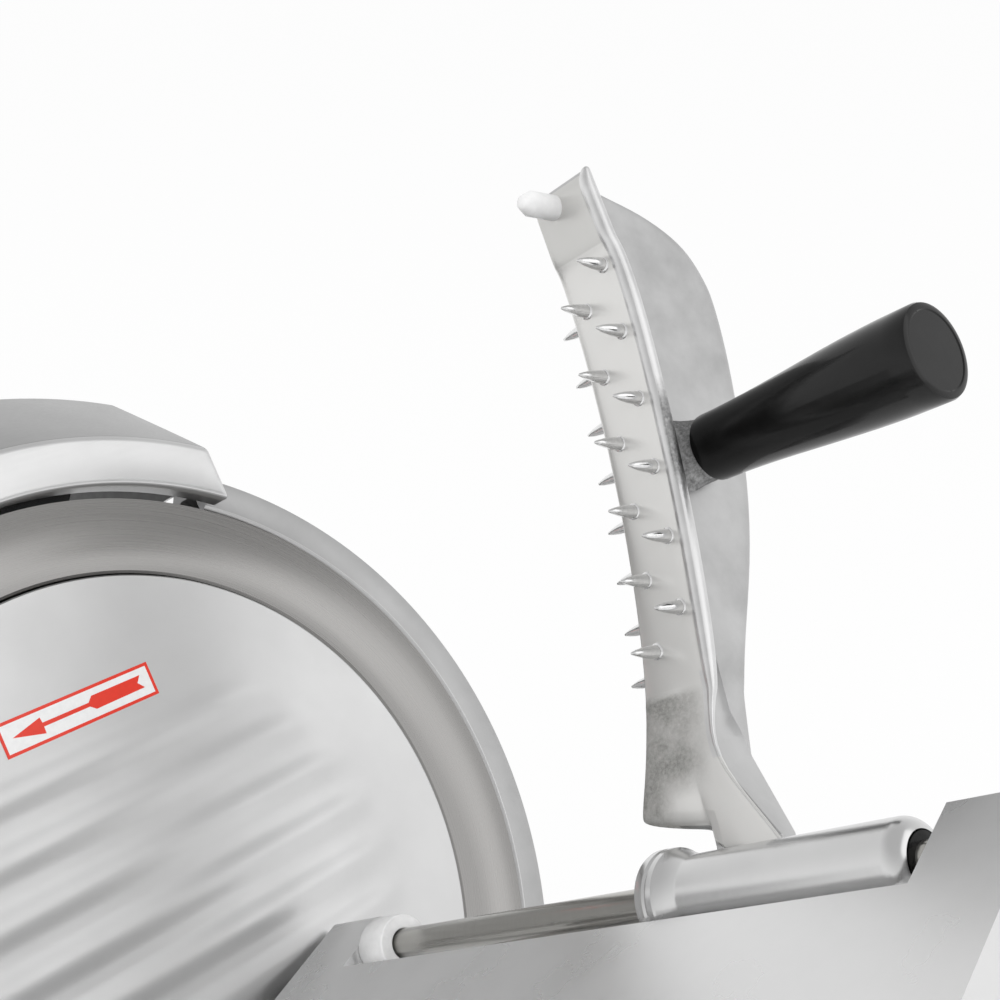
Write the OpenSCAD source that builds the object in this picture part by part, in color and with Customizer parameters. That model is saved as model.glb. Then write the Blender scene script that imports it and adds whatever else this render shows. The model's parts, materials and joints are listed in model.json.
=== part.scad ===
// Gravity-feed food slicer: a tilted round blade in a guard ring, a sliding food tray
// with a swinging spiked pusher, a thickness gauge plate and a built-in sharpener.
// X runs to the right of the operator, Y away from the operator, Z up.

/* [Stance] */
// Blade centre to the right of the middle of the footprint
blade_x = -45.15; // [-80:0.05:0]
// Blade centre behind the middle of the footprint
blade_y = 36; // [0:1:80]
// Height of the blade centre
blade_z = 225; // [215:1:260]
// Tilt of the blade axis above the horizontal
tilt = 32.5; // [28:0.5:36]

/* [Blade] */
// Radius of the cutting edge
blade_r = 125; // [122:0.5:126]
// Width of the ground ring outside the knife cover
ring_w = 21.8; // [19:0.1:22]
// Depth of that recess behind the cutting edge
recess_d = 9; // [8:0.5:10]
// Depth of the blade's back behind the cutting edge
blade_d = 13; // [12:0.5:14]
// Hollow of the ground ring below a straight line
hollow_d = 1.2; // [0.5:0.1:2]
// Radius of the hub spigot that centres the blade
spigot_r = 17; // [15:0.5:20]
// Radius of the hub flange behind the blade
hub_r = 34; // [30:1:45]
// Thickness of the hub flange
hub_t = 4.5; // [4:0.5:5]
// Circle of the blade screws
blade_screw_pcr = 26; // [25:0.5:27]
// Number of blade screws
blade_screw_n = 4; // [3:1:6]

/* [Knife cover] */
// Gap between the knife cover and the blade
cover_gap = 0.7; // [0.4:0.1:2]
// Depth of the cover's face behind the cutting edge
cover_face = 1.2; // [1:0.1:2]
// Thickness of the cover disc
cover_t = 5; // [3:0.5:6]
// Distance between two ridges
ridge_pitch = 15.2; // [14:0.2:20]
// Height of a ridge
ridge_h = 1; // [0.4:0.1:1]
// Half width of a ridge
ridge_w = 4.6; // [3:0.1:6]
// Circle on which the ridges end
ridge_end_r = 80; // [60:1:95]
// Radius of the tie rod that holds the cover
tie_r = 4; // [3:0.5:5]

/* [Guard ring] */
// Gap between the blade's edge and the ring's lip
guard_gap = 1.4; // [1.3:0.1:3]
// Width of the ring's face
guard_w = 9.1; // [8:0.1:12]
// Depth of the ring behind the cutting edge
guard_d = 22; // [21:0.5:26]
// Thickness of the ring's wall and web
guard_t = 3.5; // [3:0.5:4]
// Inner radius of the web bolted to the housing
guard_web_r = 100; // [96:1:104]
// Angle where the ring starts beside the sharpener
guard_a0 = 59; // [50:1:59]
// Angle where the ring ends under the tray
guard_a1 = -145; // [-150:1:-120]

/* [Sharpener] */
// Half width of the sharpener cover
sharp_half_w = 67.5; // [60:0.5:69]
// Front of the cover ahead of the cutting edge
sharp_front = 10; // [9:0.5:12]
// Front band of the cover outside the blade's edge
sharp_gap = 1.5; // [1:0.5:4]
// Height of the front band
sharp_band = 14; // [12:0.5:18]
// Top of the cover above the front band's lower edge
sharp_rise = 39.5; // [37.5:0.5:46]
// Where the slope of the cover ends, behind the edge
sharp_slope_n = 28; // [20:1:36]
// Back of the cover, behind the edge
sharp_back = 74; // [70:1:90]
// Wall of the cover
sharp_wall = 2.5; // [2:0.25:3]
// Half width of the sharpener body
sharp_body_w = 38; // [34:1:44]
// Underside of the body below the blade's edge
sharp_body_down = 7; // [5:0.5:13]
// Top of the body above the blade's edge
sharp_body_up = 27; // [24:0.5:29]
// Radius of the grinding stone
grind_r = 12; // [11:0.5:12.5]
// Radius of the truing stone
true_r = 7.5; // [7:0.25:8]
// Grinding spindle above the blade's edge
grind_up = 7.5; // [7:0.25:8]
// Truing spindle above the blade's edge
true_up = 4.5; // [4:0.25:5]
// Distance of each spindle from the middle
stone_h = 20; // [18:0.5:22]
// Radius of the spindles
stone_pin_r = 3.5; // [3:0.25:4]
// Travel of the grinding stone
grind_travel = 4; // [2:0.5:5]
// Travel of the truing stone
true_travel = 1.2; // [0.8:0.1:1.3]

/* [Gauge plate] */
// Gap between the blade's edge and the plate
gauge_gap = 3.5; // [2:0.5:5]
// Front edge of the plate, ahead of the blade centre
gauge_front = 235; // [215:1:250]
// Top edge of the plate above the blade centre
gauge_top = 92; // [80:1:95]
// Lower edge of the plate below the blade centre
gauge_low = 70; // [64:1:71]
// Thickness of the plate
gauge_t = 6; // [5:0.5:7]
// Largest slice thickness
gauge_travel = 12; // [8:0.5:13]
// Turn of the dial over that travel
dial_turn = 300; // [240:5:320]
// Radius of the slide bar
gauge_bar_r = 6; // [5:0.5:7]
// Radius of the cam follower pin
cam_pin_r = 3; // [2.5:0.25:3.5]
// Radius of the cam groove where the gauge is closed
cam_r0 = 24; // [23:0.5:26]
// Radius of the dial knob
dial_r = 27; // [22:0.5:30]
// Depth of the dial knob
dial_d = 24; // [18:1:30]

/* [Base] */
// Left side of the base from the blade centre
base_left = 160; // [155:1:180]
// Right side of the base from the blade centre
base_right = 105; // [103:1:106]
// Front of the base from the blade centre
base_front = 205; // [203:1:225]
// Back of the base from the blade centre
base_back = 150; // [145:1:180]
// Top of the base above the table
base_top = 70; // [68:1:70]
// Wall of the base casting
base_wall = 4; // [3:0.5:5]
// Corner radius of the base
base_corner = 24; // [16:1:30]
// Height of the feet
foot_h = 14; // [10:0.5:16]
// Radius of the feet
foot_r = 15; // [12:0.5:18]
// Inset of the feet from the left and right of the base
foot_inset = 26; // [24:0.5:30]
// Inset of the feet from the front and back of the base
foot_inset_y = 20; // [19:0.5:20]
// Thickness of the bottom cover
floor_t = 2; // [1:0.5:2]

/* [Housing] */
// Rear side of the motor housing
house_rear = 118; // [112:1:118]
// Front side of the motor housing, ahead of the blade centre
house_front = 55; // [50:1:60]
// Top of the housing above the blade centre
house_top = 58; // [56:1:60]
// Far end of the housing behind the edge
house_back = 150; // [150:1:160]
// Wall of the housing
house_wall = 4; // [3:0.5:5]
// Thickness of the housing's end cover
house_cover_t = 6; // [4:0.5:8]
// Radius of the blade spindle
spindle_r = 10; // [9:0.5:10]
// Outer radius of the spindle bearings
bearing_r = 21; // [19:0.5:23]
// Width of a bearing
bearing_w = 12; // [10:0.5:14]
// Motor axis behind the blade centre
motor_h = 76; // [74:1:78]
// Motor axis below the blade centre
motor_s = 50; // [46:1:52]
// Radius of the motor
motor_r = 37; // [32:0.5:37]
// Length of the motor
motor_len = 84; // [70:1:88]
// Radius of the blade pulley
pulley_r = 42; // [36:0.5:43]
// Radius of the motor pulley
motor_pulley_r = 13; // [10:0.5:15]
// Thickness of the belt
belt_t = 3; // [2:0.25:4]
// Width of the belt
belt_w = 12; // [8:0.5:13]

/* [Carriage] */
// Slide rod to the right of the blade centre
slide_x = 84; // [82:0.5:85]
// Height of the slide rod
slide_z = 40; // [39:0.5:41]
// Radius of the slide rod
slide_r = 8; // [7:0.5:9]
// Carriage leg behind the blade centre
leg_y = 5; // [0:1:6]
// Width of the leg along the travel
leg_w = 30; // [24:1:34]
// Travel towards the operator
travel_front = 140; // [110:1:140]
// Travel away from the operator
travel_back = 60; // [30:1:70]
// Radius of the guide roller
roller_r = 9; // [8:0.25:9.5]

/* [Tray] */
// Pusher rod behind the blade centre, across the blade's face
rod_h = 40.8; // [36:0.1:44]
// Pusher rod below the blade centre, across the blade's face
rod_s = 27.5; // [25:0.1:30]
// Radius of the pusher rod
rod_r = 4; // [3.5:0.25:4.5]
// Slope of the tray down to the operator
tray_slope = 17.9; // [14:0.1:20]
// Tray floor above the rod
tray_lift = 5.1; // [4.6:0.1:6]
// Thickness of the tray floor
tray_t = 3; // [2.5:0.25:3.25]
// Gap between the blade's edge plane and the tray
tray_gap = 3; // [2:0.5:5]
// Length of the right ear
ear_w = 24; // [22:0.5:40]
// Length of the tray in front of the rod
tray_len = 190; // [186:1:200]
// Notch edge in front of the rod
notch_front = 12.2; // [12:0.1:13.5]
// Inner end of the left ear
ear_in = 27; // [20:0.5:30]
// Room between the pusher's sleeve and the right ear
sleeve_room = 3.5; // [3.5:0.5:8]
// Height of the tray's front fence
fence_h = 70; // [50:1:90]
// Wall of the fence
fence_t = 4; // [3:0.5:5]

/* [Pusher] */
// Lean of the raised pusher away from the operator
pusher_lean = 18; // [14:0.5:20]
// Swing of the pusher from raised to lowered
pusher_swing = 122; // [100:1:122]
// Sleeve's blade-side end
sleeve_n0 = 142; // [141.5:0.5:146]
// Sleeve's outer end
sleeve_n1 = 213.5; // [209:0.5:213.5]
// Radius of the sleeve
sleeve_r = 9.4; // [8.9:0.1:9.9]
// Radius of the sleeve's collar
collar_r = 11.6; // [10.6:0.1:11.6]
// Length of the collar
collar_len = 6; // [4:0.5:8]
// Blade-side face of the pusher plate
plate_n = 136.5; // [135:0.5:139]
// Thickness of the plate
plate_t = 4; // [3:0.25:5]
// Width of the spiked flange
flange_w = 21; // [19:0.5:23]
// Thickness of the flange
flange_t = 3.5; // [3:0.25:4]
// Radius of the flange's hollow curve
flange_curve_r = 440; // [400:5:600]
// Depth of the flange behind the rod at mid length
flange_o = 14; // [13.5:0.1:15]
// Lower end of the flange from the rod
flange_l0 = 14; // [13.5:0.5:17]
// Free end of the flange from the rod
flange_l1 = 176; // [174:0.5:179]
// Height of the plate behind the rod
plate_o = 65; // [60:0.5:70]
// Length of a spike
spike_len = 9; // [6:0.25:9.25]
// Radius at a spike's root
spike_r = 1.6; // [1.2:0.1:2]
// Handle from the rod, along the plate
handle_l = 110; // [100:0.5:115]
// Handle behind the rod
handle_o = 45.5; // [40:0.5:48]
// Radius of the handle at its root
handle_r0 = 9.1; // [8:0.1:10]
// Radius of the handle at its end
handle_r1 = 12.2; // [11:0.1:13]
// Length of the handle
handle_len = 71; // [62:1:80]
// Length of the rest peg
peg_len = 11.5; // [8:0.25:11.75]

/* [Switches] */
// Radius of the push buttons
button_r = 10; // [8:0.25:11]
// Travel of the push buttons
button_travel = 3; // [2:0.25:3.5]
// Middle of the switch plate from the blade centre
switch_x = 35; // [33:0.5:36]
// Distance between the two buttons
switch_pitch = 32; // [28:0.5:34]
// Height of the buttons
switch_z = 42; // [41:0.5:43]

/* [Hidden] */
$fn = 64;
// Running fit and seated clearance
run_fit = 0.05;
seat = 0.3;
// Overshoot of a cut past a face
over = 1;

// Frames

// The blade's frame: x along the carriage travel, y up the blade's face, z along its axis
module tilted() {
    translate([blade_x, blade_y, blade_z]) rotate([0, -tilt, 0]) rotate([90, 0, 90]) children();
}

// The base's frame: upright, with the plan origin under the blade centre
module upright() {
    translate([blade_x, blade_y, 0]) children();
}

// The tray's frame: x up the tray's slope, y off its floor, z along the pusher rod
module on_tray() {
    tilted() translate([rod_h, -rod_s, 0]) rotate([0, 0, tray_slope]) children();
}

// The raised pusher's frame: x behind the rod, y along the plate, z along the rod
module on_pusher() {
    tilted() translate([rod_h, -rod_s, 0]) rotate([0, 0, -pusher_lean]) children();
}

// Extrudes a side view: its first axis becomes y, its second z, from x0 to x1
module across(x0, x1) {
    translate([x0, 0, 0]) rotate([90, 0, 90]) linear_extrude(x1 - x0) children();
}

// Extrudes an upright side view (x, z) from y0 to y1
module depth(y0, y1) {
    translate([0, y1, 0]) rotate([90, 0, 0]) linear_extrude(y1 - y0) children();
}

// A round bar along z, from z0 to z1
module bar(r, z0, z1) {
    translate([0, 0, z0]) cylinder(r = r, h = z1 - z0);
}

// A box between two corners
module box(a, b) {
    translate(a) cube(b - a);
}

// A flat with round corners, about its centre
module rounded(w, d, r) {
    square([w - 2 * r, d], center = true);
    square([w, d - 2 * r], center = true);
    for (x = [-1, 1], y = [-1, 1]) translate([x * (w / 2 - r), y * (d / 2 - r)]) circle(r);
}

// A pan-head screw along z: its head stands on z = 0 and its shank goes down
module screw(shank_r, len) {
    head_r = 1.9 * shank_r;
    head_h = 1.2 * shank_r;
    bar(shank_r, -len, over / 10);
    cylinder(r1 = head_r, r2 = 0.75 * head_r, h = head_h);
}

// A knob with finger grooves, standing on z = 0
module grip_knob(r, h, grooves) {
    difference() {
        union() {
            bar(r, 0, h - 2);
            translate([0, 0, h - 2]) cylinder(r1 = r, r2 = r - 2, h = 2);
        }
        for (i = [0 : grooves - 1]) rotate([0, 0, 360 * i / grooves]) translate([r + 1.2, 0, 3])
            cylinder(r = 2.4, h = h);
    }
}

// Plan point of a place (s, n) on the blade's frame: x right of the blade centre, z above the table
function side(s, n) = [-s * sin(tilt) + n * cos(tilt), blade_z + s * cos(tilt) + n * sin(tilt)];
// A point on a circle
function polar(r, a) = [r * cos(a), r * sin(a)];

// Blade and spindle

recess_r = blade_r - ring_w;
cover_r = recess_r - cover_gap;
edge_land = 0.6;
bevel_r = blade_r - 4;
bevel_n = 3.5;
dish_r = 60;
ring_steps = 8;
ring_n = cover_face + 1;
// Front of the ground ring: a straight line from the recess to the edge, hollowed
ring_profile = [for (i = [0 : ring_steps]) let (t = i / ring_steps)
    [recess_r + t * (blade_r - recess_r), -ring_n * (1 - t) - hollow_d * 4 * t * (1 - t)]];
bore_r = tie_r + 2;
counter_r = 12;
spindle_end = house_back - 4;
hub_front = recess_d + 0.5;
hub_back = blade_d + hub_t;
pulley_n1 = spindle_end - 4;
pulley_w = belt_w + 2;
pulley_n0 = pulley_n1 - pulley_w;
blade_screw_r = 2.5;

module blade() color("silver") tilted() difference() {
    rotate_extrude() polygon(concat(
        [[spigot_r + run_fit, -blade_d], [spigot_r + run_fit, -recess_d], [recess_r, -recess_d]],
        ring_profile,
        [[blade_r, -edge_land], [bevel_r, -bevel_n], [recess_r, -recess_d - 3], [dish_r, -blade_d]]));
    for (i = [0 : blade_screw_n - 1]) rotate([0, 0, 360 * i / blade_screw_n])
        translate([blade_screw_pcr, 0, 0]) bar(blade_screw_r + run_fit, -blade_d - over, 0);
}

module blade_screws() color("dimgray") tilted() for (i = [0 : blade_screw_n - 1])
    rotate([0, 0, 360 * i / blade_screw_n]) translate([blade_screw_pcr, 0, -recess_d]) {
        bar(blade_screw_r, -(hub_back - recess_d) + over, 0);
        bar(blade_screw_r * 1.6, 0, recess_d - cover_face - cover_t - over);
    }

module blade_spindle() color("lightsteelblue") tilted() difference() {
    union() {
        bar(spindle_r, -spindle_end, -hub_back + over);
        bar(hub_r, -hub_back, -blade_d);
        bar(spigot_r, -blade_d - over, -hub_front);
    }
    bar(bore_r, -spindle_end - over, 0);
    bar(counter_r, -hub_back + 1, 0);
    for (i = [0 : blade_screw_n - 1]) rotate([0, 0, 360 * i / blade_screw_n])
        translate([blade_screw_pcr, 0, 0]) bar(blade_screw_r + run_fit, -hub_back - over, 0);
}

module blade_pulley() color("gray") tilted() difference() {
    union() {
        bar(pulley_r, -pulley_n1, -pulley_n0);
        bar(spindle_r + 8, -pulley_n0 - over, -pulley_n0 + 8);
        for (n = [pulley_n1, pulley_n0]) translate([0, 0, -n - (n == pulley_n0 ? 0.8 : 0)])
            cylinder(r = pulley_r + 1, h = 0.8);
    }
    bar(spindle_r + run_fit, -pulley_n1 - over, -pulley_n0 + 10);
    for (i = [0 : 4]) rotate([0, 0, 72 * i]) translate([(pulley_r + spindle_r) / 2 + 2, 0, 0])
        bar(7, -pulley_n1 - over, -pulley_n0 + over);
}

module spindle_bearings() color("slategray") tilted() for (n = bearing_seats) difference() {
    bar(bearing_r - run_fit, -n - bearing_w, -n);
    bar(spindle_r + run_fit, -n - bearing_w - over, -n + over);
}

// Knife cover and its tie rod

ridge_r = (ridge_w * ridge_w + ridge_h * ridge_h) / (2 * ridge_h);
ridge_top = 53;
ridge_count = floor((ridge_top + ridge_end_r - ridge_w) / ridge_pitch);
cover_back = cover_face + cover_t;
cover_boss_r = 8;
cover_boss_back = hub_front + 5;
tie_end = house_back + house_cover_t;
knob_len = 26;

// Soft ridges that run along the carriage's travel, over a flat at depth face
module ridges(face, s0, count) {
    for (i = [0 : count - 1]) translate([0, s0 - i * ridge_pitch, -face + ridge_h - ridge_r])
        rotate([0, 90, 0]) cylinder(r = ridge_r, h = 4 * blade_r, center = true);
}

module knife_cover() color("gainsboro") tilted() difference() {
    union() {
        bar(cover_r, -cover_back, -cover_face);
        intersection() {
            ridges(cover_face, ridge_top, ridge_count);
            bar(ridge_end_r, -cover_face - over, 0);
        }
        bar(cover_boss_r, -cover_boss_back, -cover_back + over);
    }
    bar(tie_r + run_fit, -cover_boss_back - over, -cover_back + 1);
}

module cover_tie_rod() color("silver") tilted() union() {
    bar(tie_r, -tie_end - knob_len / 2, -cover_back);
    bar(tie_r + 2, -tie_end - 2, -tie_end);
}

module cover_knob() color("black") tilted() translate([0, 0, -tie_end - 2]) mirror([0, 0, 1]) difference() {
    grip_knob(19, knob_len, 8);
    bar(tie_r + run_fit, -over, knob_len / 2);
}

// Guard ring and slice deflector

guard_in = blade_r + guard_gap;
guard_out = guard_in + guard_w;
guard_face = 0.6;
guard_screw_a = [22, -20, -58];
guard_screw_r = 2.5;
guard_screw_pcr = guard_web_r + 8;
guard_screw_len = guard_t + house_wall - 0.5;

module guard_ring() color("lightgray") tilted() difference() {
    rotate([0, 0, guard_a1]) rotate_extrude(angle = guard_a0 - guard_a1) polygon([
        [guard_in, -guard_face - 2.4], [guard_in + 0.4, -guard_face - 0.9], [guard_in + 1.4, -guard_face],
        [guard_out - 0.8, -guard_face], [guard_out, -guard_face - 0.8], [guard_out, -guard_d],
        [guard_web_r, -guard_d], [guard_web_r, -guard_d + guard_t],
        [guard_out - guard_t - 2, -guard_d + guard_t], [guard_out - guard_t, -guard_d + guard_t + 2],
        [guard_out - guard_t, -guard_face - 8]]);
    for (a = guard_screw_a) rotate([0, 0, a]) translate([guard_screw_pcr, 0, 0])
        bar(guard_screw_r + run_fit, -guard_d - over, -guard_d + guard_t + over);
}

deflector_t = 1.5;
deflector_a0 = 152;
deflector_a1 = 200;
deflector_tab_s = 22;
deflector_n = 48;
deflector_r = house_front * 1.2;
deflector_tab_n = [deflector_n, 68];
deflector_screw_n = 55;

module slice_deflector() color("silver") tilted() union() {
    rotate([0, 0, deflector_a0]) rotate_extrude(angle = deflector_a1 - deflector_a0) polygon([
        [blade_r - 6, -blade_d + 3], [blade_r - 6, -blade_d + 3 - deflector_t], [88, -36 - deflector_t],
        [deflector_r, -deflector_n - deflector_t], [deflector_r, -deflector_n], [88, -36]]);
    box([-deflector_r - 2, -deflector_tab_s, -deflector_n - deflector_t],
        [-house_front, deflector_tab_s, -deflector_n]);
    difference() {
        box([-house_front - deflector_t, -deflector_tab_s, -deflector_tab_n[1]],
            [-house_front, deflector_tab_s, -deflector_tab_n[0]]);
        for (s = [-14, 14]) translate([-house_front, s, -deflector_screw_n - 4]) rotate([0, -90, 0])
            bar(guard_screw_r + run_fit, -over, deflector_t + over);
    }
}

// Motor housing, motor and belt

house_n = guard_d;
house_low = 72;
house_toe = 105;
cavity_n = house_n + house_wall;
tube_r = bearing_r + 6;
tube_n = 92;
fan_room = 9;
motor_room = cavity_n + motor_len + fan_room;
bearing_seats = [cavity_n + 2, tube_n - bearing_w];
seat_stop = cavity_n + 2;
vent_count = 6;
vent_pitch = 12;
house_screw_r = 2.5;
house_screw_h = [-house_front + 9, house_rear - 9];
house_screw_s = [house_top - 9, -house_low + 9];

module motor_housing() color("gainsboro") difference() {
    union() {
        difference() {
            upright() depth(-house_front, house_rear) polygon([
                side(house_top, -house_n), side(house_top, -house_back), side(-house_low, -house_back),
                [side(-house_low, -house_back)[0], base_top], [20, base_top], side(-house_toe, -house_n)]);
            tilted() box([-house_front + house_wall, -house_low + house_wall, -house_back - over],
                [house_rear - house_wall, house_top - house_wall, -motor_room]);
            tilted() box([-house_front + house_wall, -house_toe + house_wall + 3, -motor_room - over],
                [house_rear - house_wall, house_top - house_wall, -cavity_n]);
            upright() depth(-house_front + house_wall, house_rear - house_wall) polygon([
                [side(-house_low, -house_back)[0] + 18, base_top - over], [20 - house_wall - 4, base_top - over],
                side(-house_toe + 8, -cavity_n - 10), side(-house_toe + 8, -motor_room + 5)]);
        }
        tilted() bar(tube_r, -tube_n, -cavity_n + over);
        tilted() for (h = house_screw_h, s = house_screw_s) translate([h, s, 0])
            bar(6, -house_back, -house_back + 20);
    }
    tilted() {
        bar(bearing_r, -tube_n - over, -seat_stop);
        bar(spindle_r + 3, -tube_n, -house_n + over);
        for (a = guard_screw_a) rotate([0, 0, a]) translate([guard_screw_pcr, 0, 0])
            bar(guard_screw_r + run_fit, -cavity_n - over, -house_n + over);
        for (s = [-14, 14]) translate([-house_front, s, -deflector_screw_n - 4]) rotate([0, -90, 0])
            bar(guard_screw_r + run_fit, -house_wall - over, over);
        for (h = house_screw_h, s = house_screw_s) translate([h, s, 0])
            bar(house_screw_r + run_fit, -house_back - over, -house_back + 14);
        for (h = [-18, 18]) translate([h, house_top, -52]) rotate([-90, 0, 0])
            bar(house_screw_r + run_fit, -house_wall - over, over);
    }
}

module housing_cover() color("gainsboro") tilted() difference() {
    translate([0, 0, -house_back - house_cover_t]) linear_extrude(house_cover_t)
        translate([(house_rear - house_front) / 2, (house_top - house_low) / 2])
        rounded(house_rear + house_front, house_top + house_low, 8);
    bar(tie_r + 0.5, -house_back - house_cover_t - over, -house_back + over);
    for (h = house_screw_h, s = house_screw_s) translate([h, s, 0])
        bar(house_screw_r + run_fit, -house_back - house_cover_t - over, -house_back + over);
    translate([motor_h - vent_pitch * (vent_count - 1) / 2, -motor_s, -house_back - house_cover_t - over])
        for (i = [0 : vent_count - 1]) translate([i * vent_pitch - 2, -14, 0])
            cube([4, 28, house_cover_t + 2 * over]);
}

// Screws of the end cover, the guard ring, the deflector and the sharpener post
module housing_screws() color("dimgray") tilted() {
    for (h = house_screw_h, s = house_screw_s) translate([h, s, -house_back - house_cover_t])
        rotate([180, 0, 0]) screw(house_screw_r, house_cover_t + 12);
    for (a = guard_screw_a) rotate([0, 0, a]) translate([guard_screw_pcr, 0, -guard_d + guard_t])
        screw(guard_screw_r, guard_screw_len);
    for (s = [-14, 14]) translate([-house_front - deflector_t, s, -deflector_screw_n - 4]) rotate([0, -90, 0])
        screw(guard_screw_r, deflector_t + house_wall);
    for (h = [-18, 18]) translate([h, house_top + post_t, -52]) rotate([-90, 0, 0])
        screw(house_screw_r, post_t + house_wall);
}

motor_end = cavity_n + motor_len;
shaft_r = 6;

module motor_stator() color("darkslategray") tilted() translate([motor_h, -motor_s, 0]) difference() {
    union() {
        bar(motor_r - 3, -motor_end, -cavity_n);
        bar(motor_r, -motor_end + 14, -cavity_n - 14);
        bar(motor_r, -cavity_n - 5, -cavity_n);
    }
    bar(shaft_r + run_fit, -motor_end - over, -cavity_n - 12);
    bar(motor_r - 11, -motor_end + 22, -cavity_n - 24);
}

module motor_shaft() color("silver") tilted() translate([motor_h, -motor_s, 0]) union() {
    bar(shaft_r, -pulley_n1 - 2, -cavity_n - 13);
    bar(motor_r - 12, -motor_end + 25, -cavity_n - 27);
}

module motor_fan() color("black") tilted() translate([motor_h, -motor_s, -motor_end - 7]) difference() {
    union() {
        bar(11, 0, 5);
        for (i = [0 : 6]) rotate([0, 0, 360 * i / 7]) translate([9, -1, 0]) rotate([0, 0, 12])
            cube([motor_r - 17, 2, 5]);
    }
    bar(shaft_r + run_fit, -over, 6);
}

module motor_pulley() color("gray") tilted() translate([motor_h, -motor_s, 0]) difference() {
    union() {
        bar(motor_pulley_r, -pulley_n1, -pulley_n0);
        bar(motor_pulley_r + 1.5, -pulley_n1, -pulley_n1 + 0.8);
        bar(motor_pulley_r + 1.5, -pulley_n0 - 0.8, -pulley_n0);
    }
    bar(shaft_r + run_fit, -pulley_n1 - over, -pulley_n0 + over);
}

pulley_span = sqrt(motor_h * motor_h + motor_s * motor_s);
belt_a = acos((pulley_r - motor_pulley_r) / pulley_span);

belt_steps = 36;

// Points on a round of the belt, from one tangent point to the next
function belt_arc(r, a0, a1) = [for (i = [0 : belt_steps]) polar(r, a0 + (a1 - a0) * i / belt_steps)];

// The belt's outline at a distance off both pulleys: two rounds joined by their tangents
module belt_loop(off) {
    polygon(concat(belt_arc(pulley_r + off, belt_a, 360 - belt_a),
        [for (p = belt_arc(motor_pulley_r + off, -belt_a, belt_a)) [pulley_span, 0] + p]));
}

module drive_belt() color("black") tilted() rotate([0, 0, atan2(-motor_s, motor_h)])
    translate([0, 0, -(pulley_n0 + pulley_n1 + belt_w) / 2]) linear_extrude(belt_w) difference() {
        belt_loop(belt_t + seat);
        belt_loop(seat);
    }

// Sharpener

sharp_r0 = blade_r + sharp_gap;
sharp_r1 = sharp_r0 + sharp_band;
sharp_r2 = sharp_r0 + sharp_rise;
sharp_turn = asin(sharp_half_w / sharp_r0) + 2;
sharp_body_s0 = blade_r - sharp_body_down;
sharp_body_s1 = blade_r + sharp_body_up;
grind_s = blade_r + grind_up;
true_s = blade_r + true_up;
post_t = 6;
post_w = 30;
post_n = [24, 36];
post_foot_n = 62;
body_n = [26, 58];
stone_n = [10, 18];
true_stone_n = [1.8, 5.8];
pin_end = 80;
press_r = 9;
press_d = 12;
lock_n = 45;
lock_r = 3;
pad_top = sharp_r2 - sharp_wall - 2 * seat;
spring_len = pin_end - body_n[1] - grind_travel - seat;
stone_places = [[stone_h, grind_s], [-stone_h, true_s]];

module sharpener_post() color("gainsboro") tilted() difference() {
    union() {
        box([-post_w, house_top, -post_foot_n], [post_w, house_top + post_t, -post_n[0]]);
        box([-post_w, house_top + over, -post_n[1]], [post_w, sharp_body_s0, -post_n[0]]);
    }
    for (h = [-18, 18]) translate([h, house_top, -52]) rotate([-90, 0, 0])
        bar(house_screw_r + run_fit, -over, post_t + over);
}

module sharpener_body() color("darkgray") tilted() difference() {
    union() {
        box([-sharp_body_w, sharp_body_s0, -body_n[1]], [sharp_body_w, sharp_body_s1, -body_n[0]]);
        box([-10, sharp_body_s1 - over, -lock_n - 8], [10, pad_top, -lock_n + 8]);
    }
    for (p = stone_places) translate(p) bar(stone_pin_r + run_fit, -body_n[1] - over, 0);
    translate([0, pad_top, -lock_n]) rotate([-90, 0, 0]) bar(lock_r + run_fit, -16, over);
}

module sharpener_springs() color("silver") tilted() for (p = stone_places)
    translate([p[0], p[1], -body_n[1] - spring_len]) difference() {
        cylinder(r = stone_pin_r + 2, h = spring_len);
        translate([0, 0, -over]) cylinder(r = stone_pin_r + seat, h = spring_len + 2 * over);
    }

// Outline of the cover in radius and depth, drawn in by a wall
module cover_profile(in) {
    polygon([[sharp_r0, sharp_front - in], [sharp_r1 - in, sharp_front - in],
        [sharp_r2 - in, -sharp_slope_n - in / 2], [sharp_r2 - in, -sharp_back - (in > 0 ? over : 0)],
        [sharp_r0 + 8, -sharp_back - (in > 0 ? over : 0)], [sharp_r0 + 8, 2], [sharp_r0, 2]]);
}

// The part of a turned shape that lies between the cover's straight sides
module between_sides(half_w) {
    intersection() {
        rotate([0, 0, 90 - sharp_turn]) rotate_extrude(angle = 2 * sharp_turn) children();
        box([-half_w, 0, -2 * sharp_back], [half_w, 2 * sharp_r2, 2 * sharp_front]);
    }
}

module sharpener_cover() color("silver") tilted() difference() {
    between_sides(sharp_half_w) cover_profile(0);
    between_sides(sharp_half_w - sharp_wall) union() {
        cover_profile(sharp_wall);
        translate([sharp_r0 - over, -sharp_back - over]) square([10 + over, sharp_back + 3]);
        translate([sharp_r0 - over, -over]) square([over + 2, sharp_front - sharp_wall + over]);
    }
    translate([0, 0, -lock_n]) rotate([-90, 0, 0]) bar(lock_r + run_fit, 100, sharp_r2 + 10);
}

module sharpener_knob() color("black") tilted() translate([0, sharp_r2 + seat, -lock_n]) rotate([-90, 0, 0]) {
    grip_knob(13, 15, 8);
    bar(lock_r, -sharp_wall - 2 * seat - 12, over);
}

module grinding_spindle() color("dimgray") tilted() translate(stone_places[0]) {
    bar(stone_pin_r, -pin_end - over, -stone_n[0]);
    bar(press_r, -pin_end - press_d, -pin_end);
}

module grinding_stone() color("rosybrown") tilted() translate(stone_places[0]) difference() {
    bar(grind_r, -stone_n[1], -stone_n[0]);
    bar(stone_pin_r + run_fit, -stone_n[1] - over, 0);
}

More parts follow.
